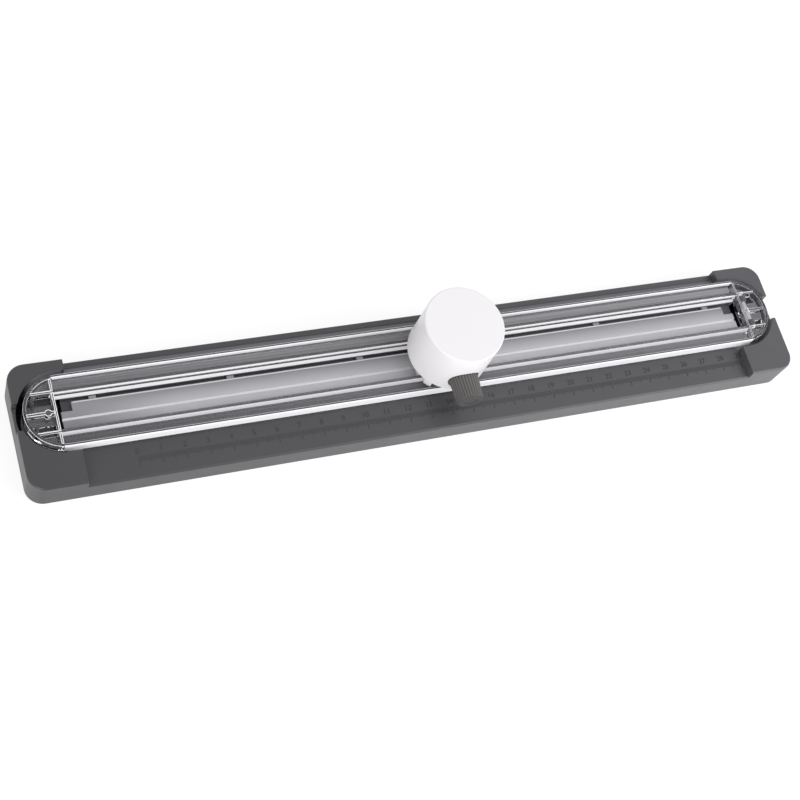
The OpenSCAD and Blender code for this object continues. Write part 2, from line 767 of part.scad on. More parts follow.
// Extrudes an outline seen along the axle, from y0 to y1
module along_axle(y0, y1) {
    translate([head_x, y1, blade_z]) rotate([90, 0, 0]) linear_extrude(y1 - y0) children();
}

// Puts a screw or its boss at each cheek screw, head to the back
module at_cheek_screws() {
    for (a = cheek_screw_angles)
        translate([head_x + cheek_boss_at * cos(a), back_face, blade_z + cheek_boss_at * sin(a)])
            rotate([90, 0, 0]) children();
}

module front_cheek() {
    color([0.3, 0.3, 0.32]) difference() {
        union() {
            along_axle(front_face, front_face + cheek_t) cheek_outline(guard_r);
            along_axle(front_face, blade_y + guard_half) difference() {
                cheek_outline(guard_r);
                circle(blade_r + guard_gap);
                translate([-guard_r - over, -guard_r - over]) square([2 * (guard_r + over), guard_r + over]);
            }
            intersection() {
                at_cheek_screws() translate([0, 0, cheek_t])
                    cylinder(h = cheek_t + 2 * guard_half, r = cheek_boss_r, $fn = small_fn);
                along_axle(front_face, blade_y + guard_half) difference() {
                    circle(guard_r + guard_rim);
                    circle(blade_r + guard_gap);
                }
            }
            spindle(neck_r, stem_boss_y, front_face, neck_r);
        }
        spindle(stem_r + turn_gap, stem_boss_y - over, stem_end_y + over, stem_r + turn_gap);
        at_cheek_screws() small_screw(0, 2 * guard_half + 2 * cheek_t - move_gap);
    }
}

module back_cheek() {
    color([0.3, 0.3, 0.32]) difference() {
        union() {
            along_axle(blade_y + guard_half, back_face) cheek_outline(guard_r);
            at_cheek_screws() cylinder(h = cheek_t, r = cheek_boss_r, $fn = small_fn);
        }
        spindle(axle_r + fixed_gap, blade_y, back_face + over, axle_r + fixed_gap);
        at_cheek_screws() small_screw(0, 2 * cheek_t);
    }
}

module cheek_screws() {
    color("silver") at_cheek_screws() small_screw(0, 2 * guard_half + 2 * cheek_t - move_gap);
}

module blade_axle() {
    color("silver") {
        spindle(axle_r, stem_boss_y, back_face, axle_r);
        spindle(axle_head_r, back_face, back_face + axle_head_t, axle_head_r);
    }
}

module rotary_blade() {
    edge_t = blade_t / 4;
    color("lightsteelblue") translate([head_x, blade_y, blade_z]) rotate([90, 0, 0]) rotate_extrude($fn = 144)
        polygon([
            [blade_hole_r, -blade_t / 2], [blade_r - bevel_w, -blade_t / 2], [blade_r, -edge_t / 2],
            [blade_r, edge_t / 2], [blade_r - bevel_w, blade_t / 2], [blade_hole_r, blade_t / 2]
        ]);
}

module blade_hub() {
    sleeve = blade_hole_r - fixed_gap;
    neck = (sleeve + axle_r) / 2;
    color("dimgray") difference() {
        union() {
            spindle(flange_r, blade_y - blade_t / 2 - flange_t, blade_y - blade_t / 2, flange_r);
            spindle(sleeve, blade_y - blade_t / 2, blade_y + blade_t / 2, sleeve);
            spindle(neck, blade_y, blade_y + blade_t / 2 + flange_t, neck);
        }
        spindle(axle_r + turn_gap, blade_y - guard_half, blade_y + guard_half, axle_r + turn_gap);
    }
}

module hub_cap() {
    neck = (blade_hole_r - fixed_gap + axle_r) / 2;
    color("gray") difference() {
        spindle(flange_r, blade_y + blade_t / 2, blade_y + blade_t / 2 + flange_t, flange_r);
        spindle(neck + fixed_gap, blade_y, blade_y + guard_half, neck + fixed_gap);
    }
}

// Solid of revolution of the release knob, before its ribs are cut
module release_knob_body() {
    tip_round = grip_taper;
    reach = stem_end_y - grip_y;
    back = stem_end_y - grip_back_y;
    neck = stem_end_y - neck_y;
    translate([head_x, stem_end_y, blade_z]) rotate([90, 0, 0]) rotate_extrude() {
        square([stem_r, back]);
        translate([0, neck]) square([neck_r, back - neck]);
        polygon([
            [0, back], [grip_r - tip_round, back], [grip_r, back + tip_round],
            [grip_tip_r, reach - tip_round], [0, reach - tip_round]
        ]);
        translate([0, back]) square([grip_tip_r - tip_round, reach - back]);
        translate([grip_tip_r - tip_round, reach - tip_round]) circle(tip_round, $fn = small_fn);
    }
}

module release_knob() {
    len = grip_back_y - grip_y;
    lean = atan(grip_taper / len);
    color([0.32, 0.32, 0.34]) difference() {
        release_knob_body();
        spindle(axle_r + turn_gap, neck_y, stem_end_y + over, axle_r + turn_gap);
        // Valleys between the ribs, leaning with the grip's taper
        for (i = [0 : grip_ribs - 1])
            translate([head_x, grip_back_y, blade_z]) rotate([0, 360 * i / grip_ribs, 0])
                translate([grip_r + grip_valley_r / 2, 0, 0]) rotate([90, 0, 0]) rotate([0, -lean, 0])
                    translate([0, 0, -over])
                        cylinder(h = len + 2 * over, r = grip_valley_r, $fn = small_fn / 2);
        // Shallow dish in the end face
        translate([head_x, grip_y, blade_z]) rotate([90, 0, 0])
            cylinder(h = 2 * dish_d, r1 = grip_tip_r / 2, r2 = grip_tip_r / 2 + 2 * dish_d, center = true);
    }
}

base_housing();
cutting_mat();
rubber_feet();
hinge_pin();
clear_rail();
carriage_runner();
front_keeper();
back_keeper();
keeper_screws();
press_spring_left();
press_spring_right();
knob_cap();
cap_screws();
front_cheek();
back_cheek();
cheek_screws();
blade_axle();
rotary_blade();
blade_hub();
hub_cap();
release_knob();
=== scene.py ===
# %% [markdown]
# # A desk paper trimmer
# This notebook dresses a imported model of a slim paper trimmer: a grey moulded base with a
# ruler, a clear rail, and a white round head that slides along the rail and is pressed down.
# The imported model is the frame. It already has every solid at its real size, in metres, so
# the work here is finish: surfaces, small moulded marks, light and camera.

# %% Load the frame
import bpy
import bmesh
import json
import math
from mathutils import Matrix, Vector


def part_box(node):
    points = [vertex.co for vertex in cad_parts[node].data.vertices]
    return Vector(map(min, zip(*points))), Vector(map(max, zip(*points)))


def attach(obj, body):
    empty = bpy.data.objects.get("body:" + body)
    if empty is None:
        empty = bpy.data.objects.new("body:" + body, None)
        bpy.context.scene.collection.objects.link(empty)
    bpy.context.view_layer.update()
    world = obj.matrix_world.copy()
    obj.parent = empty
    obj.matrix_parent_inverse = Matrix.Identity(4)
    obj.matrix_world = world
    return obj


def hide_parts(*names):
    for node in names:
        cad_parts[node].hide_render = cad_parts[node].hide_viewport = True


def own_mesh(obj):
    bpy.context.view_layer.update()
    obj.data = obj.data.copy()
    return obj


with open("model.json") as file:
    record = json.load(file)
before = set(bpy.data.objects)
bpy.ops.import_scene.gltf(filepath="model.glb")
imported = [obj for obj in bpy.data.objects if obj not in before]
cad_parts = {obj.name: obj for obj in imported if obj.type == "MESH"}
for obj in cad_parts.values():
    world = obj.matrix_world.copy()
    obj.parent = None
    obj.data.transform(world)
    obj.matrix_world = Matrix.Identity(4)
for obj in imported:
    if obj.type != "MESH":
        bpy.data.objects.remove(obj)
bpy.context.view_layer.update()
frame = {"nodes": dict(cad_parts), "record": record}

# %% [markdown]
# ## Sizes read from the frame
# Blender works in metres and a small machine is easier to think of in millimetres, so one
# factor turns one into the other. Levels and edges come from the boxes of the solids, which
# keeps every added piece on the part even if the source changes. The hinge is at the right
# end of the rail, and the left end is free.

# %% Levels and edges
MM = 0.001
base_low, base_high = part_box("base_housing")
mat_low, mat_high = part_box("cutting_mat")
rail_low, rail_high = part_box("clear_rail")
cap_low, cap_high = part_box("knob_cap")
blade_low, blade_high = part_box("rotary_blade")
deck_z = mat_high.z
rail_y = (rail_low.y + rail_high.y) / 2
cut_y = (blade_low.y + blade_high.y) / 2
print("deck at", round(deck_z / MM, 2), "mm, rail centre at", round(rail_y / MM, 2), "mm")
print("cap", round((cap_high.x - cap_low.x) / MM, 2), "mm across")

# %% [markdown]
# ## Camera
# The photograph looks down on the trimmer from its front left, with the camera rolled so that
# the long base runs uphill. A camera's place can be found by drawing the solids over the
# picture until every edge falls on its own line. Heading, elevation, roll, target and distance
# came out of that, and so did the focal length. It is kept in pixels of the picture, which the
# width of any sensor turns into a lens.

# %% Camera
PICTURE = 800
FOCAL_PIXELS = 1564.68
SENSOR = 36.0
heading = math.radians(46.460)
elevation = math.radians(60.442)
roll = math.radians(33.559)
target = Vector((-12.117, -6.980, 0.0)) * MM
distance = 695.9 * MM

forward = Vector((
    math.sin(heading) * math.cos(elevation),
    math.cos(heading) * math.cos(elevation),
    -math.sin(elevation),
))
level_right = Vector((math.cos(heading), -math.sin(heading), 0.0))
level_up = level_right.cross(forward)
right = math.cos(roll) * level_right + math.sin(roll) * level_up
up = right.cross(forward)
camera_data = bpy.data.cameras.new("photo_camera")
camera_data.sensor_width = SENSOR
camera_data.lens = FOCAL_PIXELS / PICTURE * SENSOR
camera = bpy.data.objects.new("photo_camera", camera_data)
turn = Matrix((right, up, -forward)).transposed().to_4x4()
camera.matrix_world = Matrix.Translation(target - forward * distance) @ turn
bpy.context.scene.collection.objects.link(camera)
bpy.context.scene.camera = camera
print("camera at", [round(v, 4) for v in camera.location], "lens", round(camera_data.lens, 2))

# %% [markdown]
# ## Node helpers
# A material is a small graph. These helpers add a node with its values, and join two sockets,
# so that each material below reads as a short recipe. Sums on sockets make masks: a ramp is 0 at
# its start and 1 at its end, a length below 0 turns it round, and a reach is the distance from
# an axis.

# %% Adding and joining nodes
def add_node(tree, kind, **values):
    node = tree.nodes.new(kind)
    for name, value in values.items():
        setattr(node, name, value)
    return node


def feed(tree, source, target_socket):
    if hasattr(source, "is_output"):
        tree.links.new(source, target_socket)
    else:
        target_socket.default_value = source


def group_node(tree, group, **values):
    node = add_node(tree, "ShaderNodeGroup", node_tree=group)
    for name, value in values.items():
        feed(tree, value, node.inputs[name.replace("_", " ")])
    return node


def new_group(name, inputs, outputs):
    group = bpy.data.node_groups.new(name, "ShaderNodeTree")
    for label, kind, value in inputs:
        socket = group.interface.new_socket(label, in_out="INPUT", socket_type=kind)
        if value is not None:
            socket.default_value = value
    for label, kind in outputs:
        group.interface.new_socket(label, in_out="OUTPUT", socket_type=kind)
    return group, add_node(group, "NodeGroupInput"), add_node(group, "NodeGroupOutput")


print("node helpers:", [helper.__name__ for helper in (add_node, feed, group_node, new_group)])

# %% Sums on sockets
def arithmetic(tree, operation, first, second=0.0, clamp=False):
    node = add_node(tree, "ShaderNodeMath", operation=operation, use_clamp=clamp)
    feed(tree, first, node.inputs[0])
    feed(tree, second, node.inputs[1])
    return node.outputs[0]


def product(tree, first, *others):
    for other in others:
        first = arithmetic(tree, "MULTIPLY", first, other)
    return first


def reach(tree, across, along):
    squares = arithmetic(tree, "ADD", product(tree, across, across), product(tree, along, along))
    return arithmetic(tree, "SQRT", squares)


def ramp(tree, value, start, length):
    return arithmetic(tree, "DIVIDE", arithmetic(tree, "SUBTRACT", value, start), length, clamp=True)


print("sums:", [helper.__name__ for helper in (arithmetic, product, reach, ramp)])

# %% Colours and places
def colour(red, green, blue):
    def linear(value):
        share = value / 255
        return share / 12.92 if share <= 0.04045 else ((share + 0.055) / 1.055) ** 2.4
    return (linear(red), linear(green), linear(blue), 1.0)


def mixed_colour(tree, amount, first, second):
    node = add_node(tree, "ShaderNodeMix", data_type="RGBA")
    feed(tree, amount, node.inputs["Factor"])
    feed(tree, first, node.inputs["A"])
    feed(tree, second, node.inputs["B"])
    return node.outputs["Result"]


def object_place(tree):
    return add_node(tree, "ShaderNodeTexCoord").outputs["Object"]


def place_parts(tree):
    parts = add_node(tree, "ShaderNodeSeparateXYZ")
    tree.links.new(object_place(tree), parts.inputs[0])
    return tuple(parts.outputs)


print("a mid grey of 128 is", round(colour(128, 128, 128)[0], 3), "in linear light")

# %% [markdown]
# ## Shared effects
# Every moulded piece here came out of a spark-eroded steel mould, which leaves a fine grain,
# and every piece has been handled, which leaves faint cloudy marks. Both effects are shader
# groups, built once and placed in each material with their own values. A third group marks a
# band between two levels. Groups put out only numbers, and the shaders themselves stay in the
# materials.

# %% Moulded grain
FLOAT = "NodeSocketFloat"
VECTOR = "NodeSocketVector"
moulded_grain, g_in, g_out = new_group(
    "Moulded grain",
    [("Vector", VECTOR, None), ("Grain", FLOAT, 2600.0), ("Cloud", FLOAT, 45.0)],
    [("Height", FLOAT), ("Tone", FLOAT)],
)
fine = add_node(moulded_grain, "ShaderNodeTexNoise")
fine.inputs["Detail"].default_value = 3.0
moulded_grain.links.new(g_in.outputs["Vector"], fine.inputs["Vector"])
moulded_grain.links.new(g_in.outputs["Grain"], fine.inputs["Scale"])
broad = add_node(moulded_grain, "ShaderNodeTexNoise")
broad.inputs["Detail"].default_value = 4.0
broad.inputs["Roughness"].default_value = 0.6
moulded_grain.links.new(g_in.outputs["Vector"], broad.inputs["Vector"])
moulded_grain.links.new(g_in.outputs["Cloud"], broad.inputs["Scale"])
moulded_grain.links.new(fine.outputs["Fac"], g_out.inputs["Height"])
moulded_grain.links.new(broad.outputs["Fac"], g_out.inputs["Tone"])
print("group", moulded_grain.name, "has", len(moulded_grain.nodes), "nodes")

# %% Handling marks
handling, h_in, h_out = new_group(
    "Handling marks",
    [("Vector", VECTOR, None), ("Size", FLOAT, 60.0), ("Amount", FLOAT, 0.2)],
    [("Roughness shift", FLOAT)],
)
smudge = add_node(handling, "ShaderNodeTexNoise")
smudge.inputs["Detail"].default_value = 5.0
smudge.inputs["Distortion"].default_value = 1.2
handling.links.new(h_in.outputs["Vector"], smudge.inputs["Vector"])
handling.links.new(h_in.outputs["Size"], smudge.inputs["Scale"])
centred = arithmetic(handling, "SUBTRACT", smudge.outputs["Fac"], 0.5)
shift = product(handling, centred, h_in.outputs["Amount"])
handling.links.new(shift, h_out.inputs["Roughness shift"])
print("group", handling.name, "has", len(handling.nodes), "nodes")

# %% Band mask
# Puts out 1 between two levels of a coordinate and 0 elsewhere, with a soft edge.
SOFT = 0.1 * MM
band, b_in, b_out = new_group(
    "Band mask",
    [("Value", FLOAT, 0.0), ("Low", FLOAT, 0.0), ("High", FLOAT, 1.0), ("Softness", FLOAT, SOFT)],
    [("Mask", FLOAT)],
)
above = arithmetic(band, "SUBTRACT", b_in.outputs["Value"], b_in.outputs["Low"])
above = arithmetic(band, "DIVIDE", above, b_in.outputs["Softness"], clamp=True)
below = arithmetic(band, "SUBTRACT", b_in.outputs["High"], b_in.outputs["Value"])
below = arithmetic(band, "DIVIDE", below, b_in.outputs["Softness"], clamp=True)
band.links.new(product(band, above, below), b_out.inputs["Mask"])


def between(tree, value, low, high, softness=SOFT):
    return group_node(tree, band, Value=value, Low=low, High=high, Softness=softness).outputs["Mask"]


print("group", band.name, "has", len(band.nodes), "nodes")

# %% [markdown]
# ## Plastics and metals
# A moulded plastic is a Principled shader whose colour, roughness and bump come from the first
# two groups. One recipe makes them all, and each piece gets its own colour and gloss. A thin
# coat gives the cap a second, sharper reflection. Screws, pins and springs use the same recipe
# with Metallic at 1, and the rubber feet take a coarser grain.

# %% Recipe for a moulded finish
GRAIN_DEPTH = 0.1 * MM


def moulded(name, light, dark, roughness, grain=2600.0, depth=0.03, marks=0.15, metallic=0.0):
    material = bpy.data.materials.new(name)
    material.use_nodes = True
    tree = material.node_tree
    shader = tree.nodes["Principled BSDF"]
    place = object_place(tree)
    surface = group_node(tree, moulded_grain, Vector=place, Grain=grain)
    marked = group_node(tree, handling, Vector=place, Amount=marks)
    tone = mixed_colour(tree, surface.outputs["Tone"], dark, light)
    tree.links.new(tone, shader.inputs["Base Color"])
    rough = arithmetic(tree, "ADD", marked.outputs["Roughness shift"], roughness, clamp=True)
    tree.links.new(rough, shader.inputs["Roughness"])
    bump = add_node(tree, "ShaderNodeBump")
    bump.inputs["Strength"].default_value = depth
    bump.inputs["Distance"].default_value = GRAIN_DEPTH
    tree.links.new(surface.outputs["Height"], bump.inputs["Height"])
    tree.links.new(bump.outputs["Normal"], shader.inputs["Normal"])
    shader.inputs["Metallic"].default_value = metallic
    return material


def open_finish(material):
    shader = material.node_tree.nodes["Principled BSDF"]
    return material.node_tree, shader, shader.inputs["Base Color"].links[0].from_socket


print("a moulded finish has grain", round(GRAIN_DEPTH / MM, 2), "mm deep at full strength")

# %% Plain finishes
white_plastic = moulded("white_cap_plastic", colour(249, 247, 250), colour(245, 243, 246), 0.38)
white_plastic.node_tree.nodes["Principled BSDF"].inputs["Coat Weight"].default_value = 0.15
runner_plastic = moulded("runner_plastic", colour(235, 235, 236), colour(226, 226, 228), 0.4)
dark_plastic = moulded("guard_plastic", colour(64, 64, 67), colour(56, 56, 58), 0.45)
hub_plastic = moulded("hub_plastic", colour(92, 92, 96), colour(84, 84, 88), 0.4)
# The ruler's strokes and numbers are painted darker than the deck, as painted shade along them.
mark_plastic = moulded("ruler_mark_plastic", colour(56, 56, 58), colour(50, 50, 52), 0.5)
foot_rubber = moulded(
    "foot_rubber", colour(38, 38, 39), colour(28, 28, 29), 0.8, grain=1500.0, depth=0.2)
pin_steel = moulded(
    "ground_steel", colour(196, 197, 200), colour(176, 177, 181), 0.28, depth=0.02, metallic=1.0)
screw_steel = moulded(
    "plated_screw_steel", colour(184, 184, 186), colour(160, 160, 163), 0.32, metallic=1.0)
spring_steel = moulded(
    "spring_steel", colour(170, 171, 174), colour(150, 151, 154), 0.35, metallic=1.0)
plain = [white_plastic, runner_plastic, dark_plastic, hub_plastic, mark_plastic, foot_rubber]
plain += [pin_steel, screw_steel, spring_steel]
print("plain finishes made:", [material.name for material in plain])

# %% [markdown]
# The knob's grip is a tapered round with fine ribs. The grooves between them are painted
# darker than the tops, as painted shade. A mask for the grooves could be painted, but grooves
# simply lie nearer to the knob's axis than the tops. The distance from the axis gives that, set
# against a radius that grows along the taper.

# %% Grip plastic
grip_low, grip_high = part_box("release_knob")
GRIP_TOP = 5.8 * MM
GRIP_TAPER = 0.057
GRIP_DEPTH = 0.3 * MM
grip_plastic = moulded("grip_plastic", colour(107, 105, 104), colour(94, 92, 91), 0.5, depth=0.08)
tree, shader, tone = open_finish(grip_plastic)
x, y, z = place_parts(tree)
off_x = arithmetic(tree, "SUBTRACT", x, (grip_low.x + grip_high.x) / 2)
off_z = arithmetic(tree, "SUBTRACT", z, (grip_low.z + grip_high.z) / 2)
from_axis = reach(tree, off_x, off_z)
widened = product(tree, arithmetic(tree, "SUBTRACT", y, grip_low.y), GRIP_TAPER)
rib_top = arithmetic(tree, "ADD", widened, GRIP_TOP)
in_groove = ramp(tree, from_axis, rib_top, -GRIP_DEPTH)
tree.links.new(mixed_colour(tree, in_groove, tone, colour(40, 39, 41)), shader.inputs["Base Color"])
print("grip plastic nodes:", len(tree.nodes))

# %% [markdown]
# ## The base
# The base is dark grey, and a fine grain covers all of it. Its colour is painted darker towards
# the free end, as painted shade, and its front wall carries painted light and shade: dark at
# the free end and pale towards the hinge end, broken up by noise. One ramp along the base leads
# both tones from dark to pale.

# %% Deck and front edge
WALL_BAND_WIDTH = 0.9 * MM
WALL_BAND_SOFT = 0.5 * MM
WALL_SHADING_LEAST = 0.3
OVER_EDGE = 1.0 * MM
SHADE_REACH, SHADE_STRENGTH = 1.15, 0.52
base_plastic = moulded("base_plastic", colour(89, 89, 93), colour(80, 80, 84), 0.4, marks=0.12)
tree, shader, tone = open_finish(base_plastic)
x, y, z = place_parts(tree)
rightwards = ramp(tree, x, base_low.x, base_high.x - base_low.x)
# Painted shade: the base grows darker towards its free end.
free_end_shade = arithmetic(tree, "SUBTRACT", SHADE_REACH, rightwards)
free_end_shade = arithmetic(tree, "MULTIPLY", free_end_shade, SHADE_STRENGTH, clamp=True)
tone = mixed_colour(tree, free_end_shade, tone, colour(40, 40, 43))
# Painted light and shade on the front wall: dark at the free end, pale towards the hinge.
rubbed = between(tree, y, base_low.y - OVER_EDGE, base_low.y + WALL_BAND_WIDTH, WALL_BAND_SOFT)
broken = add_node(tree, "ShaderNodeTexNoise")
broken.inputs["Scale"].default_value = 180.0
tree.links.new(object_place(tree), broken.inputs["Vector"])
wall_shading = product(tree, rubbed, arithmetic(tree, "ADD", broken.outputs["Fac"], WALL_SHADING_LEAST))
wall_shading_tone = mixed_colour(tree, rightwards, colour(44, 44, 47), colour(93, 93, 97))
tone = mixed_colour(tree, wall_shading, tone, wall_shading_tone)
print("base plastic nodes with its worn edge:", len(tree.nodes))

# %% [markdown]
# The low strip behind the rail is painted paler than the rest of the base. Three masks
# multiplied give it: behind the rail but in front of the rim, at the strip's own level, and
# between the two pads.

# %% Strip behind the rail
BACK_RIM = 2.3 * MM
PAD_LENGTH = 20 * MM
STRIP_LOW, STRIP_HIGH = 0.7 * MM, 0.2 * MM
behind = between(tree, y, rail_high.y, base_high.y - BACK_RIM)
on_strip = between(tree, z, deck_z - STRIP_LOW, deck_z - STRIP_HIGH)
between_pads = arithmetic(tree, "LESS_THAN", arithmetic(tree, "ABSOLUTE", x), base_high.x - PAD_LENGTH)
pale_strip = product(tree, behind, on_strip, between_pads)
tone = mixed_colour(tree, pale_strip, tone, colour(114, 113, 117))
print("base plastic nodes with the strip:", len(tree.nodes))

# %% [markdown]
# The rail's round ends sit in round recesses in the pads. Their walls are painted paler, as painted
# light in the shade there, and so is the hinge's pocket. The distance from the middle of each round
# end marks them, and one formula serves both ends, because it starts from the absolute value of x.
# Round the free end most of that wall is painted nearly black instead, as painted shade.

# %% Recesses at the rail's ends
END_X = rail_high.x - (rail_high.y - rail_low.y) / 2
PAD_TOP = 16.4 * MM
RING_IN, RING_OUT, RING_FROM = 15.9 * MM, 18.5 * MM, -5 * MM
DEEP_FRONT, DEEP_BACK, DEEP_SOFT = -9 * MM, 15.5 * MM, 3 * MM
POCKET_FROM = 3.2 * MM
end_dx = arithmetic(tree, "SUBTRACT", arithmetic(tree, "ABSOLUTE", x), END_X)
end_dy = arithmetic(tree, "SUBTRACT", y, rail_y)
from_end = reach(tree, end_dx, end_dy)
ring = between(tree, from_end, RING_IN, RING_OUT)
under_pad_top = between(tree, z, 0.0, PAD_TOP - SOFT, SOFT / 2)
in_ring = product(tree, ring, under_pad_top, arithmetic(tree, "GREATER_THAN", end_dx, RING_FROM))
at_free_end = arithmetic(tree, "LESS_THAN", x, 0.0)
deep_recess_shade = product(tree, between(tree, end_dy, DEEP_FRONT, DEEP_BACK, DEEP_SOFT), at_free_end)
# Painted light on the recess walls, and painted shade deep round the free end.
recess_painted_tone = mixed_colour(tree, deep_recess_shade, colour(118, 117, 121), colour(14, 14, 16))
tone = mixed_colour(tree, in_ring, tone, recess_painted_tone)
under_rail = arithmetic(tree, "LESS_THAN", z, rail_low.z)
inside_ring = arithmetic(tree, "LESS_THAN", from_end, RING_IN)
past_hinge = arithmetic(tree, "GREATER_THAN", x, END_X + POCKET_FROM)
pocket = product(tree, inside_ring, under_rail, past_hinge)
tone = mixed_colour(tree, pocket, tone, colour(126, 125, 129))
print("base plastic nodes with the recesses:", len(tree.nodes))

# %% [markdown]
# Past each end of the mat the base drops into a gap that is painted nearly black as well, as
# painted shade, and the gap at the hinge end is the wider one. A plain plastic would still mirror
# a little of the white room there. With Metallic at 1 a surface mirrors only as much as its own
# colour allows, and in a nearly black one that is next to nothing, so the masks of painted shade
# feed Metallic too.

# %% Gaps past the mat's ends
GAP_FROM, GAP_SHIFT = -0.6 * MM, 1.4 * MM
GAP_TO, GAP_GROWTH = 2.8 * MM, 5.0 * MM
GAP_HALF = 8.4 * MM
gap_from = arithmetic(tree, "ADD", product(tree, rightwards, GAP_SHIFT), GAP_FROM)
gap_to = arithmetic(tree, "ADD", product(tree, rightwards, GAP_GROWTH), GAP_TO)
beside = arithmetic(tree, "LESS_THAN", arithmetic(tree, "ABSOLUTE", end_dy), GAP_HALF)
gap = product(tree, between(tree, end_dx, gap_from, gap_to), under_rail, beside)
tree.links.new(mixed_colour(tree, gap, tone, colour(12, 12, 14)), shader.inputs["Base Color"])
shade_without_reflection = arithmetic(tree, "MAXIMUM", product(tree, in_ring, deep_recess_shade), gap)
tree.links.new(shade_without_reflection, shader.inputs["Metallic"])
print("base plastic nodes in all:", len(tree.nodes))

# %% [markdown]
# ## The mat
# The cutting mat is a pale, slightly translucent strip. A long grain runs along it from the
# extruder, so its noise is stretched along the rail by a Mapping node. Behind the groove the
# top is painted darker towards the back, as painted shade, and it is painted darker towards the
# free end too, also as painted shade. The groove itself is whitened where the blade has scored it.

# %% Mat plastic
def streaks(tree, along, across):
    stretched = add_node(tree, "ShaderNodeMapping")
    stretched.inputs["Scale"].default_value = (along, across, across)
    tree.links.new(object_place(tree), stretched.inputs["Vector"])
    noise = add_node(tree, "ShaderNodeTexNoise")
    noise.inputs["Scale"].default_value = 1.0
    tree.links.new(stretched.outputs["Vector"], noise.inputs["Vector"])
    return noise.outputs["Fac"]


GROOVE_HALF, GROOVE_SOFT = 0.5 * MM, 0.02 * MM
BACK_SHADE_WIDTH = 6 * MM
MAT_SHADE_FROM, MAT_SHADE_LENGTH = -115 * MM, 40 * MM
mat_plastic = moulded("mat_plastic", colour(202, 201, 205), colour(190, 189, 193), 0.42, marks=0.1)
tree, shader, tone = open_finish(mat_plastic)
x, y, z = place_parts(tree)
streaked = streaks(tree, along=12.0, across=900.0)
tone = mixed_colour(tree, streaked, tone, colour(204, 203, 207))
back_shade = ramp(tree, y, cut_y + GROOVE_HALF, BACK_SHADE_WIDTH)
tone = mixed_colour(tree, back_shade, tone, colour(146, 145, 149))
mat_end_shade = ramp(tree, x, MAT_SHADE_FROM, -MAT_SHADE_LENGTH)
tone = mixed_colour(tree, mat_end_shade, tone, colour(150, 149, 153))
groove_edge = GROOVE_HALF + GROOVE_SOFT
scored = between(tree, y, cut_y - groove_edge, cut_y + groove_edge, GROOVE_SOFT)
tree.links.new(mixed_colour(tree, scored, tone, colour(244, 244, 245)), shader.inputs["Base Color"])
print("mat plastic nodes:", len(tree.nodes))

# %% [markdown]
# ## The clear rail
# The rail is clear plastic. Light that reaches the base through it would need many bounces to
# find a lamp again, which makes grain in the picture. So for shadow rays, and for light on
# its way from one dull surface to the next, the rail is swapped for a plain see-through
# shader. Every other ray still bends and reflects in real plastic.

# %% Clear plastic
def any_ray(tree, *kinds):
    light_path = add_node(tree, "ShaderNodeLightPath")
    found = light_path.outputs[kinds[0]]
    for kind in kinds[1:]:
        found = arithmetic(tree, "ADD", found, light_path.outputs[kind], clamp=True)
    return found


def shaders_mixed(tree, amount, first, second):
    mix = add_node(tree, "ShaderNodeMixShader")
    tree.links.new(amount, mix.inputs["Fac"])
    tree.links.new(first, mix.inputs[1])
    tree.links.new(second, mix.inputs[2])
    return mix.outputs["Shader"]


def plain_see_through(tree, tint):
    clear = add_node(tree, "ShaderNodeBsdfTransparent")
    clear.inputs["Color"].default_value = tint
    return clear


def see_through_for_light(tree, surface, tint):
    passed = any_ray(tree, "Is Shadow Ray", "Is Diffuse Ray")
    swapped = shaders_mixed(tree, passed, surface, plain_see_through(tree, tint).outputs["BSDF"])
    tree.links.new(swapped, tree.nodes["Material Output"].inputs["Surface"])


def clear_shader(tree, shader):
    shader.inputs["Base Color"].default_value = (0.955, 0.95, 0.97, 1.0)
    shader.inputs["Transmission Weight"].default_value = 1.0
    shader.inputs["IOR"].default_value = 1.49
    marked = group_node(tree, handling, Vector=object_place(tree), Size=90.0, Amount=0.05)
    rough = arithmetic(tree, "ADD", marked.outputs["Roughness shift"], 0.03, clamp=True)
    tree.links.new(rough, shader.inputs["Roughness"])


RAIL_TINT = (0.93, 0.93, 0.95, 1.0)
clear_plastic = bpy.data.materials.new("clear_rail_plastic")
clear_plastic.use_nodes = True
tree = clear_plastic.node_tree
shader = tree.nodes["Principled BSDF"]
clear_shader(tree, shader)
see_through_for_light(tree, shader.outputs["BSDF"], RAIL_TINT)
print("clear plastic nodes:", len(tree.nodes))

# %% [markdown]
# The lips' upright sides come straight off the mould's cutter marks, so they are faintly
# frosted, and the light that the rail gathers leaves there. Seen from outside they are painted
# white, partly as that frost and partly as painted highlight, while a look down through a lip's
# top still meets clear plastic. Backfacing tells the two apart, and a little emission is a
# painted glow for the gathered light. Narrow edges at the rail's ends get the same painted
# highlight and glow. The lips' round tops and the foot of their inner sides are painted dark
# instead, as painted shade. The runner slides in the channels, so their floors carry fine grey
# rub lines, and their pale haze is painted light. One recipe makes all of these, pale or dark,
# with more or less of it over the clear.
# Light goes straight on through a rubbed floor, since its two sides are parallel and would only
# shift it by a hair. That leaves the picture smoother than bending it twice.

# %% Recipe for a frosted skin
HALF_CLEAR, ALMOST_CLEAR = (0.6, 0.6, 0.62, 1.0), (0.88, 0.88, 0.9, 1.0)
FINE_ACROSS = 1500.0


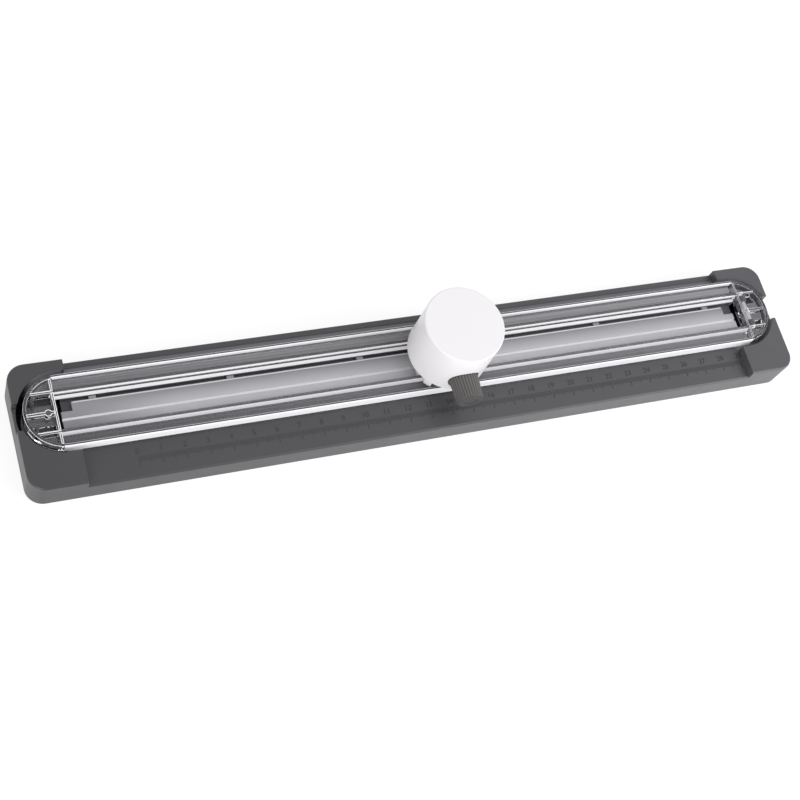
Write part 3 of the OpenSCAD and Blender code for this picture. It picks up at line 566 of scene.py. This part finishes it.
def frosted(name, dark, light, glow=0.0, share=1.0, along=25.0, tint=HALF_CLEAR, bends=True):
    material = bpy.data.materials.new(name)
    material.use_nodes = True
    tree = material.node_tree
    clear = tree.nodes["Principled BSDF"]
    if bends:
        clear_shader(tree, clear)
    else:
        tree.nodes.remove(clear)
        clear = plain_see_through(tree, tint)
    frost = add_node(tree, "ShaderNodeBsdfPrincipled")
    frost.inputs["Roughness"].default_value = 0.35
    frost.inputs["Emission Strength"].default_value = glow
    streaked = mixed_colour(tree, streaks(tree, along, FINE_ACROSS), dark, light)
    tree.links.new(streaked, frost.inputs["Base Color"])
    tree.links.new(streaked, frost.inputs["Emission Color"])
    inside = add_node(tree, "ShaderNodeNewGeometry").outputs["Backfacing"]
    amount = product(tree, arithmetic(tree, "SUBTRACT", 1.0, inside), share)
    skin = shaders_mixed(tree, amount, clear.outputs["BSDF"], frost.outputs["BSDF"])
    see_through_for_light(tree, skin, tint)
    return material, amount.node.inputs[1]


print("share of light through a frosted skin:", HALF_CLEAR[0], "a rubbed one:", ALMOST_CLEAR[0])

# %% [markdown]
# The share of a skin over the clear plastic can change along the rail. The pale haze painted as
# light on the channel floors grows towards the hinge and is stronger in the channel behind the
# slot, and the painted highlight on the ends' edges fades towards the hinge.

# %% Frosted finishes
def share_along_rail(made, at_free_end, at_hinge, more_behind=0.0):
    material, share_socket = made
    tree = material.node_tree
    x, y, z = place_parts(tree)
    along = ramp(tree, x, rail_low.x, rail_high.x - rail_low.x)
    share = arithmetic(tree, "ADD", product(tree, along, at_hinge - at_free_end), at_free_end)
    behind = product(tree, arithmetic(tree, "GREATER_THAN", y, rail_y), more_behind)
    share = arithmetic(tree, "ADD", share, behind)
    tree.links.new(share, share_socket)
    return material


LIT = colour(232, 231, 235), colour(252, 252, 253)
frost_and_highlight_plastic = frosted("lip_frost_and_highlight_plastic", *LIT, glow=0.14)[0]
shaded_plastic = frosted("shaded_lip_plastic", colour(58, 57, 60), colour(78, 77, 80), share=0.75)[0]
edge_plastic = share_along_rail(frosted("edge_lit_plastic", *LIT, glow=0.35), 0.85, 0.4)
rub_and_haze_plastic = share_along_rail(
    frosted(
        "rail_rub_and_haze_plastic", colour(118, 117, 120), colour(212, 211, 214),
        along=6.0, tint=ALMOST_CLEAR, bends=False),
    0.28, 0.62, more_behind=0.3)
cloudy_plastic = share_along_rail(
    frosted("cloudy_end_plastic", colour(108, 107, 110), colour(168, 167, 170), tint=ALMOST_CLEAR),
    0.0, 0.6)
print("frosted plastic nodes:", len(frost_and_highlight_plastic.node_tree.nodes))

# %% [markdown]
# ## The blade
# The blade is ground on a wheel, so its scratches run round it. Distance from the axle feeds
# a Noise texture, which gives rings, and they roughen the steel very slightly.

# %% Blade steel
RING_ROUGHNESS = 0.3
blade_steel = moulded(
    "blade_steel", colour(214, 216, 221), colour(200, 202, 208), 0.2, depth=0.01, metallic=1.0)
tree = blade_steel.node_tree
shader = tree.nodes["Principled BSDF"]
x, y, z = place_parts(tree)
off_x = arithmetic(tree, "SUBTRACT", x, (blade_low.x + blade_high.x) / 2)
off_z = arithmetic(tree, "SUBTRACT", z, (blade_low.z + blade_high.z) / 2)
rings = add_node(tree, "ShaderNodeTexNoise", noise_dimensions="1D")
rings.inputs["Scale"].default_value = 6000.0
tree.links.new(reach(tree, off_x, off_z), rings.inputs["W"])
ring_rough = arithmetic(tree, "MULTIPLY", rings.outputs["Fac"], RING_ROUGHNESS, clamp=True)
tree.links.new(ring_rough, shader.inputs["Roughness"])
print("blade steel nodes:", len(tree.nodes))

# %% [markdown]
# ## Dressing the solids
# A solid from CAD comes as loose triangles, which shade like facets. Its copy is merged, and
# then each corner gets a normal of its own. Triangles that lie in one plane count as one face
# and vote by their whole area, so a small rounding takes its normals from the big flat faces
# beside it, and these stay flat. Edges sharper than thirty degrees stay crisp.

# %% Corner normals
SAME_PLANE = 0.99999


def plane_votes(work):
    region, votes = {}, []
    for seed in work.faces:
        if seed.index in region:
            continue
        region[seed.index] = len(votes)
        stack, area = [seed], 0.0
        while stack:
            here = stack.pop()
            area += here.calc_area()
            for edge in here.edges:
                for there in edge.link_faces:
                    if there.index not in region and there.normal.dot(seed.normal) > SAME_PLANE:
                        region[there.index] = len(votes)
                        stack.append(there)
        votes.append(seed.normal * area)
    return region, votes


def fans_at(vert, limit):
    fans = {face.index: {face.index} for face in vert.link_faces}
    for edge in vert.link_edges:
        if len(edge.link_faces) == 2:
            first, second = edge.link_faces
            if first.normal.dot(second.normal) > limit:
                joined = fans[first.index] | fans[second.index]
                for index in joined:
                    fans[index] = joined
    return fans


def corner_normals(work, sharp):
    region, votes = plane_votes(work)
    corner = {}
    for vert in work.verts:
        for index, fan in fans_at(vert, math.cos(math.radians(sharp))).items():
            total = Vector((0.0, 0.0, 0.0))
            for part in {region[member] for member in fan}:
                total += votes[part]
            corner[vert.index, index] = total.normalized()
    return [corner[loop.vert.index, face.index] for face in work.faces for loop in face.loops]


print("one plane takes faces within", round(math.degrees(math.acos(SAME_PLANE)), 2), "degrees")

# %% Dress a solid
record = frame["record"]
body_of = {node: body for body, nodes in record["behaviour"]["bodies"].items() for node in nodes}
MERGE = 0.001 * MM


def dressed(node, materials, prepare=None, sharp=30.0):
    mesh = frame["nodes"][node].data.copy()
    mesh.name = node + "_skin"
    mesh.materials.clear()
    for material in materials:
        mesh.materials.append(material)
    work = bmesh.new()
    work.from_mesh(mesh)
    bmesh.ops.remove_doubles(work, verts=work.verts, dist=MERGE)
    if prepare:
        prepare(work)
    work.normal_update()
    for items in (work.verts, work.edges, work.faces):
        items.index_update()
    normals = corner_normals(work, sharp)
    work.to_mesh(mesh)
    work.free()
    mesh.shade_smooth()
    mesh.normals_split_custom_set(normals)
    skin = bpy.data.objects.new(node + "_skin", mesh)
    bpy.context.scene.collection.objects.link(skin)
    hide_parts(node)
    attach(skin, body_of[node])
    print(node, "has", len(mesh.polygons), "faces")
    return skin


# %% Plain pieces
finishes = {
    "base_housing": base_plastic, "cutting_mat": mat_plastic, "rubber_feet": foot_rubber,
    "hinge_pin": pin_steel, "carriage_runner": runner_plastic, "front_keeper": runner_plastic,
    "back_keeper": runner_plastic, "keeper_screws": screw_steel, "knob_cap": white_plastic,
    "cap_screws": screw_steel, "front_cheek": dark_plastic, "back_cheek": dark_plastic,
    "cheek_screws": screw_steel, "blade_axle": pin_steel, "rotary_blade": blade_steel,
    "blade_hub": hub_plastic, "hub_cap": hub_plastic, "release_knob": grip_plastic,
}
for node, material in finishes.items():
    dressed(node, [material])

# %% [markdown]
# Each press spring gets a mesh of its own.

# %% Press springs
for node in ("press_spring_left", "press_spring_right"):
    spring = dressed(node, [spring_steel])
    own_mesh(spring)

# %% [markdown]
# The rail's section is a flat floor with four lips. Each face could be picked by hand, but the
# section is the same all along, so a rule does it: how far a face stands from the rail's middle
# line, which way it looks, and how high it is. Which way it looks is read from its normal, whose
# parts run from -1 to 1. Planes first cut the skin where a finish ends.

# %% Rail section
CLEAR, FROST_AND_HIGHLIGHT, RUB_AND_HAZE, EDGE_LIT, SHADED, CLOUDY = range(6)
LEDGE_IN, LIP_IN, LIP_MID, LIP_OUT = 6.8 * MM, 8.3 * MM, 8.9 * MM, 9.7 * MM
EDGE_IN, EDGE_MID = 14.6 * MM, 15.35 * MM
LIP_ROUND = 0.2 * MM
LEDGE_TOP = rail_low.z + 1.1 * MM
FROST_FROM = rail_high.z - 2.3 * MM
SIDEWAYS, UPRIGHT, FLAT = 0.5, 0.35, 0.9


def lip_finish(away, outward, normal_z, low_down):
    upright = abs(normal_z) < UPRIGHT
    on_inner_side = LIP_IN - LIP_ROUND < away < LIP_MID
    if outward > SIDEWAYS and away > EDGE_MID:
        return FROST_AND_HIGHLIGHT
    if outward < -SIDEWAYS and EDGE_IN < away < EDGE_MID:
        return CLEAR if low_down else FROST_AND_HIGHLIGHT
    if normal_z > UPRIGHT and (EDGE_IN < away or LIP_IN - LIP_ROUND < away < LIP_OUT):
        return SHADED
    if upright and outward > SIDEWAYS and LIP_MID < away < LIP_OUT:
        return FROST_AND_HIGHLIGHT
    if upright and outward < -SIDEWAYS and on_inner_side:
        return SHADED if low_down else FROST_AND_HIGHLIGHT
    return CLEAR


print("lips are frosted above", round(FROST_FROM / MM, 1), "mm")

# %% Rail ends
FROST_X = 163.5 * MM
ROUNDED_FROM, ROUNDED_TO, LEVEL = 0.2, 0.5, 0.99
END_TOP_RADIUS = 14.4 * MM
EDGE_WIDTH = 0.3 * MM
UNDERSIDE = rail_low.z + 0.1 * MM


def rail_finish(face):
    centre, normal = face.calc_center_median(), face.normal
    away = abs(centre.y - rail_y)
    outward = normal.y * math.copysign(1.0, centre.y - rail_y)
    flat_low = centre.z < LEDGE_TOP and normal.z > FLAT
    if abs(centre.x) > FROST_X:
        rounded = ROUNDED_FROM < normal.z < ROUNDED_TO and centre.z > FROST_FROM
        return EDGE_LIT if rounded else CLOUDY if flat_low else CLEAR
    on_ledge = centre.z < LEDGE_TOP and LEDGE_IN < away < LIP_IN
    if on_ledge and (outward < -SIDEWAYS or normal.z > SIDEWAYS):
        return FROST_AND_HIGHLIGHT
    underside = centre.z < UNDERSIDE and normal.z < -FLAT
    if (flat_low or underside) and LIP_OUT < away < EDGE_IN:
        return RUB_AND_HAZE
    return lip_finish(away, outward, normal.z, centre.z < FROST_FROM)


def is_end_top(face):
    centre = face.calc_center_median()
    from_end = math.hypot(abs(centre.x) - END_X, centre.y - rail_y)
    within = abs(centre.x) > FROST_X and from_end < END_TOP_RADIUS
    return within and centre.z > FROST_FROM and face.normal.z > LEVEL


print("the ends start", round(FROST_X / MM, 1), "mm from the middle")

# %% [markdown]
# The tops of the ribs and walls at the ends catch light only along their edges. Their triangles
# are joined into whole tops first, so that an inset can leave a narrow rim all round each.

# %% Clear rail
CUT_MERGE = 0.0005 * MM


def cut_for_finishes(work):
    cuts = [((0, 0, FROST_FROM), (0, 0, 1)), ((FROST_X, 0, 0), (1, 0, 0)), ((-FROST_X, 0, 0), (1, 0, 0))]
    cuts += [((0, rail_y + away, 0), (0, 1, 0)) for away in (-EDGE_IN, -LIP_OUT, LIP_OUT, EDGE_IN)]
    for point, direction in cuts:
        everything = work.verts[:] + work.edges[:] + work.faces[:]
        bmesh.ops.bisect_plane(work, geom=everything, dist=CUT_MERGE, plane_co=point, plane_no=direction)
    work.normal_update()


def rim_end_tops(work):
    tops = [face for face in work.faces if is_end_top(face)]
    inner = [
        edge for edge in work.edges
        if len(edge.link_faces) == 2 and all(face in tops for face in edge.link_faces)
    ]
    bmesh.ops.dissolve_edges(work, edges=inner, use_verts=False)
    tops = [face for face in work.faces if is_end_top(face)]
    rims = bmesh.ops.inset_region(
        work, faces=tops, thickness=EDGE_WIDTH, use_boundary=True, use_even_offset=True)
    for face in rims["faces"]:
        face.material_index = EDGE_LIT
    print("tops at the ends:", len(tops), "rim faces:", len(rims["faces"]))


def finish_rail(work):
    cut_for_finishes(work)
    for face in work.faces:
        face.material_index = rail_finish(face)
    rim_end_tops(work)
    bmesh.ops.triangulate(work, faces=work.faces[:])
    area = [0.0] * (CLOUDY + 1)
    for face in work.faces:
        area[face.material_index] += face.calc_area() / MM ** 2
    print("square mm clear, frosted, rubbed, edge lit, shaded, cloudy:", [round(part) for part in area])


rail_materials = [
    clear_plastic, frost_and_highlight_plastic, rub_and_haze_plastic, edge_plastic, shaded_plastic, cloudy_plastic,
]
dressed("clear_rail", rail_materials, finish_rail)

# %% [markdown]
# ## Rows of small marks
# The mat has long fine beads and the ruler has hundreds of short strokes. Both are rows of equal
# things at equal steps, which is what Geometry Nodes do best: a Mesh Line gives the places, and
# one small shape is instanced on them and stretched to size. The helpers below hold what the two
# trees share.

# %% Geometry helpers
INTEGER = "NodeSocketInt"
MATERIAL = "NodeSocketMaterial"
ROW_INPUTS = [
    ("Count", INTEGER, 10), ("Start", VECTOR, None), ("Step", FLOAT, MM), ("Material", MATERIAL, None),
]


def geometry_tree(name, inputs):
    tree = bpy.data.node_groups.new(name, "GeometryNodeTree")
    for label, kind, value in inputs:
        socket = tree.interface.new_socket(label, in_out="INPUT", socket_type=kind)
        if value is not None:
            socket.default_value = value
    tree.interface.new_socket("Geometry", in_out="OUTPUT", socket_type="NodeSocketGeometry")
    return tree, add_node(tree, "NodeGroupInput"), add_node(tree, "NodeGroupOutput")


def combined(tree, **sides):
    node = add_node(tree, "ShaderNodeCombineXYZ")
    for side, source in sides.items():
        tree.links.new(source, node.inputs[side])
    return node.outputs[0]


def row_of(tree, t_in, t_out, offset, shape, size):
    row = add_node(tree, "GeometryNodeMeshLine", mode="OFFSET")
    tree.links.new(t_in.outputs["Count"], row.inputs["Count"])
    tree.links.new(t_in.outputs["Start"], row.inputs["Start Location"])
    tree.links.new(offset, row.inputs["Offset"])
    copies = add_node(tree, "GeometryNodeInstanceOnPoints")
    tree.links.new(row.outputs["Mesh"], copies.inputs["Points"])
    tree.links.new(shape, copies.inputs["Instance"])
    tree.links.new(size, copies.inputs["Scale"])
    real = add_node(tree, "GeometryNodeRealizeInstances")
    tree.links.new(copies.outputs["Instances"], real.inputs["Geometry"])
    surfaced = add_node(tree, "GeometryNodeSetMaterial")
    tree.links.new(real.outputs["Geometry"], surfaced.inputs["Geometry"])
    tree.links.new(t_in.outputs["Material"], surfaced.inputs["Material"])
    tree.links.new(surfaced.outputs["Geometry"], t_out.inputs["Geometry"])


print("a row takes", [label for label, kind, value in ROW_INPUTS])

# %% [markdown]
# A modifier grows the row on an empty holder. Its result is copied into a plain mesh, and the
# holder with its modifier goes before the piece is given to a body.

# %% Growing a piece
def grown(name, tree, values, body):
    holder = bpy.data.objects.new(name + "_holder", bpy.data.meshes.new(name + "_holder"))
    bpy.context.scene.collection.objects.link(holder)
    modifier = holder.modifiers.new(name, "NODES")
    modifier.node_group = tree
    sockets = {item.name: item.identifier for item in tree.interface.items_tree if item.in_out == "INPUT"}
    for label, value in values.items():
        modifier[sockets[label]] = value
    evaluated = holder.evaluated_get(bpy.context.evaluated_depsgraph_get())
    mesh = bpy.data.meshes.new_from_object(evaluated)
    bpy.data.objects.remove(holder)
    mesh.name = name
    piece = bpy.data.objects.new(name, mesh)
    bpy.context.scene.collection.objects.link(piece)
    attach(piece, body)
    print(name, "has", len(mesh.polygons), "faces")
    return piece


# %% [markdown]
# In front of the groove the mat has fine ribs that grip the sheet, and its back edge ends in a
# thin raised rim. A step at each end makes the mat's back edge shorter than its front one, and
# the rim with it. All are long low beads. A cylinder of unit size is laid along the rail and
# stretched, and its lower half sinks into the mat, which leaves a half round on top.

# %% Bead tree
bead_tree, t_in, t_out = geometry_tree(
    "Long beads",
    ROW_INPUTS + [("Length", FLOAT, 300 * MM), ("Width", FLOAT, 0.3 * MM), ("Height", FLOAT, 0.1 * MM)],
)
rod = add_node(bead_tree, "GeometryNodeMeshCylinder")
rod.inputs["Vertices"].default_value = 12
rod.inputs["Radius"].default_value = 0.5
rod.inputs["Depth"].default_value = 1.0
laid = add_node(bead_tree, "GeometryNodeTransform")
laid.inputs["Rotation"].default_value = (0.0, math.pi / 2, 0.0)
bead_tree.links.new(rod.outputs["Mesh"], laid.inputs["Geometry"])
both_halves = product(bead_tree, t_in.outputs["Height"], 2.0)
bead_size = combined(bead_tree, X=t_in.outputs["Length"], Y=t_in.outputs["Width"], Z=both_halves)
bead_step = combined(bead_tree, Y=t_in.outputs["Step"])
row_of(bead_tree, t_in, t_out, bead_step, laid.outputs["Geometry"], bead_size)
print("bead tree nodes:", len(bead_tree.nodes))

# %% Ribs and rim of the mat
MAT_STEP = 4.8 * MM
RIBS = 5
RIB_FRONT, RIB_STEP, RIB_SHORTER = 4.4 * MM, 0.75 * MM, 1.0 * MM
RIB_WIDTH, RIB_HEIGHT = 0.34 * MM, 0.11 * MM
RIM_BACK, RIM_WIDTH, RIM_HEIGHT = 7.2 * MM, 0.55 * MM, 0.15 * MM
# The rim is painted paler than the mat, as a painted highlight along its top.
rim_highlight_plastic = moulded("mat_rim_highlight_plastic", colour(222, 221, 225), colour(212, 211, 215), 0.35)
mat_middle = (mat_low.x + mat_high.x) / 2
rib_length = mat_high.x - mat_low.x - RIB_SHORTER
grown(
    "mat_grip_ribs", bead_tree,
    {"Count": RIBS, "Start": (mat_middle, cut_y - RIB_FRONT, deck_z), "Step": RIB_STEP,
     "Length": rib_length, "Width": RIB_WIDTH, "Height": RIB_HEIGHT, "Material": mat_plastic},
    "base",
)
grown(
    "mat_back_rim", bead_tree,
    {"Count": 1, "Start": (mat_middle, cut_y + RIM_BACK, deck_z), "Step": 0.0,
     "Length": rib_length - 2 * MAT_STEP, "Width": RIM_WIDTH, "Height": RIM_HEIGHT,
     "Material": rim_highlight_plastic},
    "base",
)

# %% [markdown]
# ## The ruler
# The ruler is moulded into the deck: a stroke for each millimetre, a longer one for each half
# centimetre and a longer one still for each centimetre. One small bar hangs from each place of
# the row, and the index of the place decides how long its bar is.

# %% Stroke tree
stroke_tree, t_in, t_out = geometry_tree(
    "Ruler strokes",
    ROW_INPUTS + [
        ("Width", FLOAT, 0.2 * MM), ("Height", FLOAT, 0.1 * MM),
        ("Short", FLOAT, 2 * MM), ("Middle", FLOAT, 3 * MM), ("Long", FLOAT, 4 * MM),
    ],
)
index = add_node(stroke_tree, "GeometryNodeInputIndex").outputs[0]


def is_multiple(of):
    rest = arithmetic(stroke_tree, "MODULO", index, of)
    return arithmetic(stroke_tree, "LESS_THAN", rest, 0.5)


def longer_where(chosen, first, second):
    node = add_node(stroke_tree, "ShaderNodeMix", data_type="FLOAT")
    feed(stroke_tree, chosen, node.inputs["Factor"])
    feed(stroke_tree, first, node.inputs["A"])
    feed(stroke_tree, second, node.inputs["B"])
    return node.outputs["Result"]


length = longer_where(is_multiple(5.0), t_in.outputs["Short"], t_in.outputs["Middle"])
length = longer_where(is_multiple(10.0), length, t_in.outputs["Long"])
bar = add_node(stroke_tree, "GeometryNodeMeshCube")
bar.inputs["Size"].default_value = (1.0, 1.0, 1.0)
hung = add_node(stroke_tree, "GeometryNodeTransform")
hung.inputs["Translation"].default_value = (0.0, -0.5, 0.5)
stroke_tree.links.new(bar.outputs["Mesh"], hung.inputs["Geometry"])
stroke_size = combined(stroke_tree, X=t_in.outputs["Width"], Y=length, Z=t_in.outputs["Height"])
stroke_step = combined(stroke_tree, X=t_in.outputs["Step"])
row_of(stroke_tree, t_in, t_out, stroke_step, hung.outputs["Geometry"], stroke_size)
print("stroke tree nodes:", len(stroke_tree.nodes))

# %% Ruler strokes
CM = 10 * MM
RULER_ZERO = -134.5 * MM
RULER_CM = 29
STROKE_TOP = -18.4 * MM
STROKE_SUNK = 0.05 * MM
grown(
    "ruler_strokes", stroke_tree,
    {
        "Count": RULER_CM * 10 + 1, "Start": (RULER_ZERO, STROKE_TOP, deck_z - STROKE_SUNK), "Step": MM,
        "Width": 0.28 * MM, "Height": 0.17 * MM, "Short": 2.2 * MM, "Middle": 3 * MM, "Long": 4 * MM,
        "Material": mark_plastic,
    },
    "base",
)

# %% [markdown]
# The numbers stand on the rail's side of the strokes. A text object gives each one, and it is
# turned into a mesh before it is put in place, so that every finished piece keeps its place
# in its mesh. They are plain counting numbers, thin and raised like the strokes.

# %% Ruler numbers
NUMBER_Y = -17.1 * MM
NUMBER_SIZE = 3.6 * MM
NUMBER_RAISED = 0.06 * MM
numbers = bmesh.new()
for count in range(RULER_CM + 1):
    curve = bpy.data.curves.new("number", "FONT")
    curve.body = str(count)
    curve.size = NUMBER_SIZE
    curve.align_x = "CENTER"
    curve.extrude = NUMBER_RAISED
    curve.resolution_u = 3
    text = bpy.data.objects.new("number", curve)
    bpy.context.scene.collection.objects.link(text)
    mesh = bpy.data.meshes.new_from_object(text.evaluated_get(bpy.context.evaluated_depsgraph_get()))
    mesh.transform(Matrix.Translation((RULER_ZERO + count * CM, NUMBER_Y, deck_z + NUMBER_RAISED)))
    numbers.from_mesh(mesh)
    bpy.data.objects.remove(text)
number_mesh = bpy.data.meshes.new("ruler_numbers")
numbers.to_mesh(number_mesh)
numbers.free()
number_mesh.materials.append(mark_plastic)
ruler_numbers = bpy.data.objects.new("ruler_numbers", number_mesh)
bpy.context.scene.collection.objects.link(ruler_numbers)
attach(ruler_numbers, "base")
print("ruler numbers have", len(number_mesh.polygons), "faces")

# %% [markdown]
# ## Light and floor
# The photograph was lit by large soft boxes in a white room, with more light from the front
# right, so the base's front wall is paler than its deck. The room is a white world, which lamps
# only push a little one way. They all stand in front, so the head's shadow falls back on the
# rail. Mirrors and clear plastic see the same white as the camera.

# %% World
SEEN_RAYS = ("Is Camera Ray", "Is Glossy Ray", "Is Transmission Ray")
WHITE = (1.0, 1.0, 1.0, 1.0)
world = bpy.data.worlds.new("white_room")
bpy.context.scene.world = world
world.use_nodes = True
tree = world.node_tree
room = tree.nodes["Background"]
room.inputs["Color"].default_value = WHITE
room.inputs["Strength"].default_value = 0.61
seen = add_node(tree, "ShaderNodeBackground")
seen.inputs["Color"].default_value = WHITE
seen.inputs["Strength"].default_value = 1.0
sky = shaders_mixed(tree, any_ray(tree, *SEEN_RAYS), room.outputs[0], seen.outputs[0])
tree.links.new(sky, tree.nodes["World Output"].inputs["Surface"])
print("world strength", room.inputs["Strength"].default_value)


# %% Lamps
def soft_box(name, place, size, power):
    lamp = bpy.data.lights.new(name, "AREA")
    lamp.shape = "DISK"
    lamp.size = size
    lamp.energy = power
    thing = bpy.data.objects.new(name, lamp)
    thing.location = place
    thing.rotation_euler = (-Vector(place)).to_track_quat("-Z", "Y").to_euler()
    bpy.context.scene.collection.objects.link(thing)


soft_box("high_right_box", (0.5, -0.37, 0.9), size=0.84, power=2.5)
soft_box("front_left_box", (-0.76, -0.88, 0.35), size=0.8, power=5.8)
soft_box("front_right_box", (0.95, -0.6, 0.45), size=0.7, power=5.2)
print("lamps:", [lamp.name for lamp in bpy.data.lights])

# %% [markdown]
# The floor is pale and dull. As for the world, what the camera sees of it is a little different
# from what lights the trimmer: a darker paint with a steady glow, which comes out white in the
# open and still darkens under the base, so the shadow stays.

# %% Floor
FLOOR_REACH = 8.0


def dull_paint(shader, grey):
    shader.inputs["Base Color"].default_value = (grey, grey, grey, 1.0)
    shader.inputs["Roughness"].default_value = 0.9
    shader.inputs["Specular IOR Level"].default_value = 0.0


floor_paint = bpy.data.materials.new("floor_paint")
floor_paint.use_nodes = True
tree = floor_paint.node_tree
lighting = tree.nodes["Principled BSDF"]
dull_paint(lighting, 0.86)
pale = add_node(tree, "ShaderNodeBsdfPrincipled")
dull_paint(pale, 0.32)
pale.inputs["Emission Color"].default_value = WHITE
pale.inputs["Emission Strength"].default_value = 0.785
paint = shaders_mixed(tree, any_ray(tree, *SEEN_RAYS), lighting.outputs["BSDF"], pale.outputs["BSDF"])
tree.links.new(paint, tree.nodes["Material Output"].inputs["Surface"])
corners = [(FLOOR_REACH * x, FLOOR_REACH * y, 0) for x, y in ((-1, -1), (1, -1), (1, 1), (-1, 1))]
floor_mesh = bpy.data.meshes.new("floor")
floor_mesh.from_pydata(corners, [], [(0, 1, 2, 3)])
floor_mesh.materials.append(floor_paint)
floor = bpy.data.objects.new("floor", floor_mesh)
bpy.context.scene.collection.objects.link(floor)
bpy.context.scene.view_settings.view_transform = "Standard"
print("floor reaches", FLOOR_REACH, "m")
